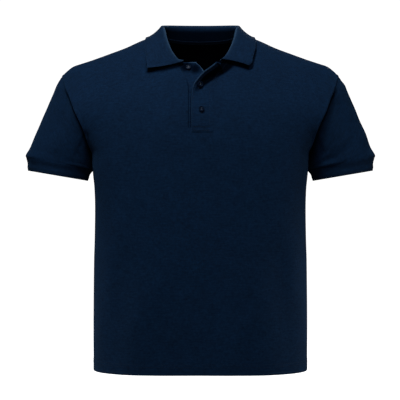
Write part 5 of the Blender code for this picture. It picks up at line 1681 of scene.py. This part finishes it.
def pique_relief(knit, across, along):
    """Staggered cells of tuck stitches, like a fine honeycomb."""
    turn, rise = 2 * math.pi / knit.cell_width, 2 * math.pi / knit.cell_height
    cells = (across * turn).wave() * (along * rise).wave()
    return 0.5 + 0.5 * cells


def rib_relief(knit, across, along):
    """Fine ribs from the seam to the edge, made of small loops."""
    turn, rise = 2 * math.pi / knit.rib_pitch, 2 * math.pi / knit.loop_height
    ribs = (across * (turn / 2)).wave().size()
    loops = (along * rise + 1.6 * ribs).wave()
    return 0.78 * ribs + 0.11 + 0.11 * loops


def twill_relief(knit, across, along):
    """The slanting lines of a woven tape."""
    return 0.5 + 0.5 * ((across + along) * (2 * math.pi / knit.twill_pitch)).wave()


def thread_finish(name, colour):
    finish = Finish(name)
    twist = finish.noise(0.0004, 2.0)
    return finish.surface(
        Base_Color=finish.blend(twist, shade(colour, 0.75), shade(colour, 1.25)),
        Roughness=0.70 + 0.2 * twist,
        Normal=finish.bump(twist, 0.0002, 0.6),
        Specular_IOR_Level=0.15,
        Sheen_Weight=0.05,
    )


def button_finish(name, colour):
    """Moulded plastic with a faint swirl and fine handling marks."""
    finish = Finish(name)
    swirl = finish.noise(0.004, 3.0, 0.6)
    marks = finish.noise(0.0007, 2.0)
    return finish.surface(
        Base_Color=finish.blend(swirl, shade(colour, 0.8), shade(colour, 1.3)),
        Roughness=0.45 + 0.14 * marks,
        Normal=finish.bump(marks, 0.00004, 0.5),
        Specular_IOR_Level=0.04,
        Coat_Weight=0.02,
        Coat_Roughness=0.12,
    )


# ---------------------------------------------------------------- settings


def colour_setting(name, description, default):
    return bpy.props.FloatVectorProperty(
        name=name, description=description, default=default, subtype="COLOR", size=3, min=0.0, max=1.0
    )


def length_setting(name, description, default):
    return bpy.props.FloatProperty(
        name=name, description=description, default=default, unit="LENGTH", precision=5
    )


class PoloColours(bpy.types.PropertyGroup):
    """Colours of the cloth, the thread and the buttons"""

    pique: colour_setting("Pique", "Dye of the body, the sleeves and the placket", (0.0025, 0.0155, 0.0460))
    rib: colour_setting("Rib", "Dye of the collar and the cuffs", (0.0030, 0.0160, 0.0460))
    tape: colour_setting("Tape", "Dye of the neck tape", (0.0030, 0.0120, 0.0340))
    thread: colour_setting("Thread", "Dye of the sewing thread", (0.0012, 0.0075, 0.0220))
    button: colour_setting("Button", "Colour of the buttons", (0.0020, 0.0075, 0.0220))
    # The twist is paler than the sewing thread as a painted highlight, standing in for the glint at each
    # button's middle.
    twist: colour_setting("Button twist", "Dye of the thread that holds the buttons", (0.100, 0.125, 0.165))
    bloom: colour_setting("Bloom", "Tint of the soft light on the cloth's nap", (0.08, 0.26, 0.55))


class PoloKnit(bpy.types.PropertyGroup):
    """Sizes of the knitted and woven relief"""

    cell_width: length_setting("Cell width", "Width of a pique cell", 0.0017)
    cell_height: length_setting("Cell height", "Height of a pique cell", 0.0014)
    rib_pitch: length_setting("Rib pitch", "Distance between two ribs", 0.0018)
    loop_height: length_setting("Loop height", "Height of one row of rib loops", 0.0011)
    twill_pitch: length_setting("Twill pitch", "Distance between two lines of the tape's twill", 0.0012)


class PoloSewing(bpy.types.PropertyGroup):
    """Sizes of the stitching"""

    hem_line: length_setting("Hem line", "Height of the lower line of stitching above the hem", 0.0170)
    needle_gap: length_setting("Needle gap", "Distance between two lines of twin needle stitching", 0.0052)
    edge_line: length_setting("Edge line", "Distance of a placket's stitching from its edge", 0.0030)
    buttonhole: length_setting("Buttonhole", "Length of a buttonhole", 0.0145)


class PoloStage(bpy.types.PropertyGroup):
    """Camera and light"""

    distance: length_setting("Camera distance", "Distance of the camera from the shirt's middle plane", 2.5)
    height: length_setting("Camera height", "Height of the camera", -0.370)
    shown: length_setting("Width shown", "Width of the picture at the shirt's middle plane", 0.88)
    floor: length_setting("Floor", "Height of the floor", -0.98)


# ---------------------------------------------------------------- operators

made = {}


def cut(name):
    """A sheet of the shirt by its piece's name. All of them are cut together the first time."""
    if "sheets" not in made:
        made["sheets"] = cut_shirt()
    return made["sheets"][name]


def finish_for(kind, context):
    """The finish of one kind of cloth, thread or button. Each is made the first time it is asked for."""
    scene = context.scene
    colours, knit = scene.polo_colours, scene.polo_knit
    name, make, colour, *details = {
        "pique": ("navy_pique_knit", knit_finish, colours.pique, pique_relief, 0.00030, 0.88, 0.10),
        "rib": ("navy_rib_knit", knit_finish, colours.rib, rib_relief, 0.00040, 0.86, 0.10),
        "tape": ("navy_twill_tape", knit_finish, colours.tape, twill_relief, 0.00015, 0.80, 0.15),
        "thread": ("navy_thread", thread_finish, colours.thread),
        "twist": ("button_twist", thread_finish, colours.twist),
        "button": ("navy_button_plastic", button_finish, colours.button),
    }[kind]
    if details:
        details += [knit, colours.bloom]
    return bpy.data.materials.get(name) or make(name, colour, *details)


def lay_cloth(context, node, with_pieces=()):
    """Builds a piece of cloth in place of its node."""
    name, slot, flat, area, rests_on = CLOTH[node]
    piece = cut(node).build(name, finish_for(slot, context))
    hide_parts(node)


def stitch(context, name, lines):
    """Sews a piece of cloth along some lines."""
    stitching = sew(name, lines, finish_for("thread", context))
    return stitching


class POLO_OT_body(bpy.types.Operator):
    """Lays the front and back panels, with their hem stitching"""

    bl_idname = "polo.body"
    bl_label = "Body panels"

    def execute(self, context):
        sewing = context.scene.polo_sewing
        for node in ("front", "back"):
            heights = [sewing.hem_line + needle * sewing.needle_gap for needle in (0, 1)]
            lines = [cut(node).line_beside((0, 0), height) for height in heights]
            lay_cloth(context, node, [stitch(context, node + "_hem_stitching", lines)])
        return {"FINISHED"}


class POLO_OT_sleeves(bpy.types.Operator):
    """Lays both sleeves"""

    bl_idname = "polo.sleeves"
    bl_label = "Sleeves"

    def execute(self, context):
        for node in ("sleeve_right", "sleeve_left"):
            lay_cloth(context, node)
        return {"FINISHED"}


class POLO_OT_cuffs(bpy.types.Operator):
    """Lays both ribbed cuffs"""

    bl_idname = "polo.cuffs"
    bl_label = "Cuffs"

    def execute(self, context):
        for node in ("cuff_right", "cuff_left"):
            lay_cloth(context, node)
        return {"FINISHED"}


class POLO_OT_collar(bpy.types.Operator):
    """Lays the ribbed collar and the neck tape"""

    bl_idname = "polo.collar"
    bl_label = "Collar and neck tape"

    def execute(self, context):
        lay_cloth(context, "collar")
        lines = [cut("neck_tape").line_beside((0, end), TAPE_LINE, 1, -1) for end in (0, -1)]
        # The stitching shows on the side of the tape that looks into the neck.
        lines = [(line - (TAPE_THICKNESS + 2 * STITCH_LIFT) * facing, -facing) for line, facing in lines]
        lay_cloth(context, "neck_tape", [stitch(context, "neck_tape_stitching", lines)])
        return {"FINISHED"}


class POLO_OT_plackets(bpy.types.Operator):
    """Lays both plackets, with their stitching and buttonholes"""

    bl_idname = "polo.plackets"
    bl_label = "Plackets"

    def execute(self, context):
        edge, length = context.scene.polo_sewing.edge_line, context.scene.polo_sewing.buttonhole
        for node in ("placket_under", "placket_upper"):
            sheet, upper = cut(node), node == "placket_upper"
            top = sheet.points.shape[0] - 3
            lines = [sheet.line_beside((1, 0), PLACKET_LAP + edge, 6, top)]
            lines.append(sheet.line_beside((1, -1), edge, 2, top))
            for level in (0, BOX_LINE_GAP, BOX_HEIGHT, BOX_HEIGHT + BOX_LINE_GAP) if upper else ():
                lines.append(sheet.line_beside((0, 0), edge * BOX_START + level, 3, -3))
            going = [stitch(context, node + "_stitching", lines)]
            for button in BUTTONS if upper else ():
                thread = finish_for("thread", context)
                hole = buttonhole(button + "hole", sheet, hole_place(button), length, thread)
                going.append(hole)
            lay_cloth(context, node, going)
        return {"FINISHED"}


def hole_place(button):
    """Where a button's hole lies on the upper placket."""
    if button == "button_top":
        return np.array(TOP_BUTTONHOLE)
    return cad_disc(button)[0] + np.array([0.0, 0.0, BUTTONHOLE_RISE])


class POLO_OT_buttons(bpy.types.Operator):
    """Turns the three buttons and sews them on"""

    bl_idname = "polo.buttons"
    bl_label = "Buttons"

    def execute(self, context):
        for node in BUTTONS:
            turned = button_mesh(node, finish_for("button", context))
            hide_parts(node)
            button_thread(node, finish_for("twist", context))
        return {"FINISHED"}


def aim(thing, target):
    direction = np.array(target) - np.array(thing.location)
    across = math.atan2(direction[0], direction[1])
    down = math.atan2(direction[2], math.hypot(direction[0], direction[1]))
    thing.rotation_euler = (math.pi / 2 + down, 0, -across)


def soft_light(name, place, target, size, spread, power, colour):
    lamp = bpy.data.lights.new(name, "AREA")
    lamp.shape = "RECTANGLE"
    lamp.size, lamp.size_y = size
    lamp.spread = math.radians(spread)
    lamp.energy, lamp.color = power, colour
    light = placed(name, lamp)
    light.location = place
    aim(light, target)


def paper_sweep(floor, material):
    """The round floor, turned up into a wall all round, as the sides of a many-cornered bowl."""
    turns = np.linspace(0, math.pi / 2, PAPER_TURN_STEPS)
    radii = [PAPER_MIDDLE, *(PAPER_RADIUS - PAPER_TURN * (1 - np.sin(turns))), PAPER_RADIUS]
    heights = [0.0, *(PAPER_TURN * (1 - np.cos(turns))), PAPER_HEIGHT]
    around = 2 * math.pi * np.arange(PAPER_SIDES) / PAPER_SIDES
    points = [(0.0, 0.0, floor)]
    for radius, height in zip(radii, heights):
        points += [(radius * math.cos(turn), radius * math.sin(turn), floor + height) for turn in around]
    faces = []
    for n in range(PAPER_SIDES):
        after = (n + 1) % PAPER_SIDES
        faces.append((0, 1 + n, 1 + after))
        for start in range(1, 1 + (len(radii) - 1) * PAPER_SIDES, PAPER_SIDES):
            faces.append((start + n, start + PAPER_SIDES + n, start + PAPER_SIDES + after, start + after))
    sweep = placed("paper_sweep", plain_mesh("paper_sweep", points, faces, material))
    sweep.visible_diffuse = sweep.visible_glossy = sweep.visible_shadow = False


class POLO_OT_stage(bpy.types.Operator):
    """Sets the floor, the backdrop, the lights and the camera"""

    bl_idname = "polo.stage"
    bl_label = "Stage"

    def execute(self, context):
        stage = context.scene.polo_stage
        finish = Finish("pale_paper")
        grain = finish.noise(0.02, 2.0)
        paper = finish.surface(
            Base_Color=finish.blend(grain, (0.93, 0.93, 0.93), (0.96, 0.96, 0.96)),
            Roughness=0.9,
            Emission_Color=(1.0, 1.0, 1.0, 1.0),
            Emission_Strength=PAPER_GLOW,
        )
        paper_sweep(stage.floor, paper)
        for row in LIGHTS:
            soft_light(*row)
        world = bpy.data.worlds.new("studio")
        world.use_nodes = True
        background = world.node_tree.nodes["Background"]
        background.inputs["Color"].default_value = (*AMBIENT_COLOUR, 1.0)
        background.inputs["Strength"].default_value = AMBIENT
        context.scene.world = world

        lens = bpy.data.cameras.new("camera")
        lens.sensor_width = SENSOR
        lens.lens = SENSOR * stage.distance / stage.shown
        camera = placed("camera", lens)
        camera.location = (CAMERA_X, -stage.distance, stage.height)
        camera.rotation_euler = (math.pi / 2, 0, 0)
        context.scene.camera = camera
        context.scene.view_settings.view_transform = "Standard"
        return {"FINISHED"}


OPERATORS = (
    POLO_OT_body,
    POLO_OT_sleeves,
    POLO_OT_cuffs,
    POLO_OT_collar,
    POLO_OT_plackets,
    POLO_OT_buttons,
    POLO_OT_stage,
)


class POLO_PT_panel(bpy.types.Panel):
    """Lists the steps that build the shirt"""

    bl_idname = "POLO_PT_panel"
    bl_label = "Polo Shirt"
    bl_space_type = "VIEW_3D"
    bl_region_type = "UI"
    bl_category = "Polo Shirt"

    def draw(self, context):
        for name, kind in GROUPS.items():
            box = self.layout.box()
            for setting in kind.__annotations__:
                box.prop(getattr(context.scene, name), setting)
        for operator in OPERATORS:
            self.layout.operator(operator.bl_idname)


GROUPS = {
    "polo_colours": PoloColours,
    "polo_knit": PoloKnit,
    "polo_sewing": PoloSewing,
    "polo_stage": PoloStage,
}
CLASSES = (*GROUPS.values(), *OPERATORS, POLO_PT_panel)


def register():
    for cls in CLASSES:
        bpy.utils.register_class(cls)
    for name, group in GROUPS.items():
        setattr(bpy.types.Scene, name, bpy.props.PointerProperty(type=group))


def unregister():
    for name in GROUPS:
        delattr(bpy.types.Scene, name)
    for cls in reversed(CLASSES):
        bpy.utils.unregister_class(cls)


def main():
    register()
    for operator in OPERATORS:
        family, name = operator.bl_idname.split(".")
        getattr(getattr(bpy.ops, family), name)()


if __name__ == "__main__":
    main()
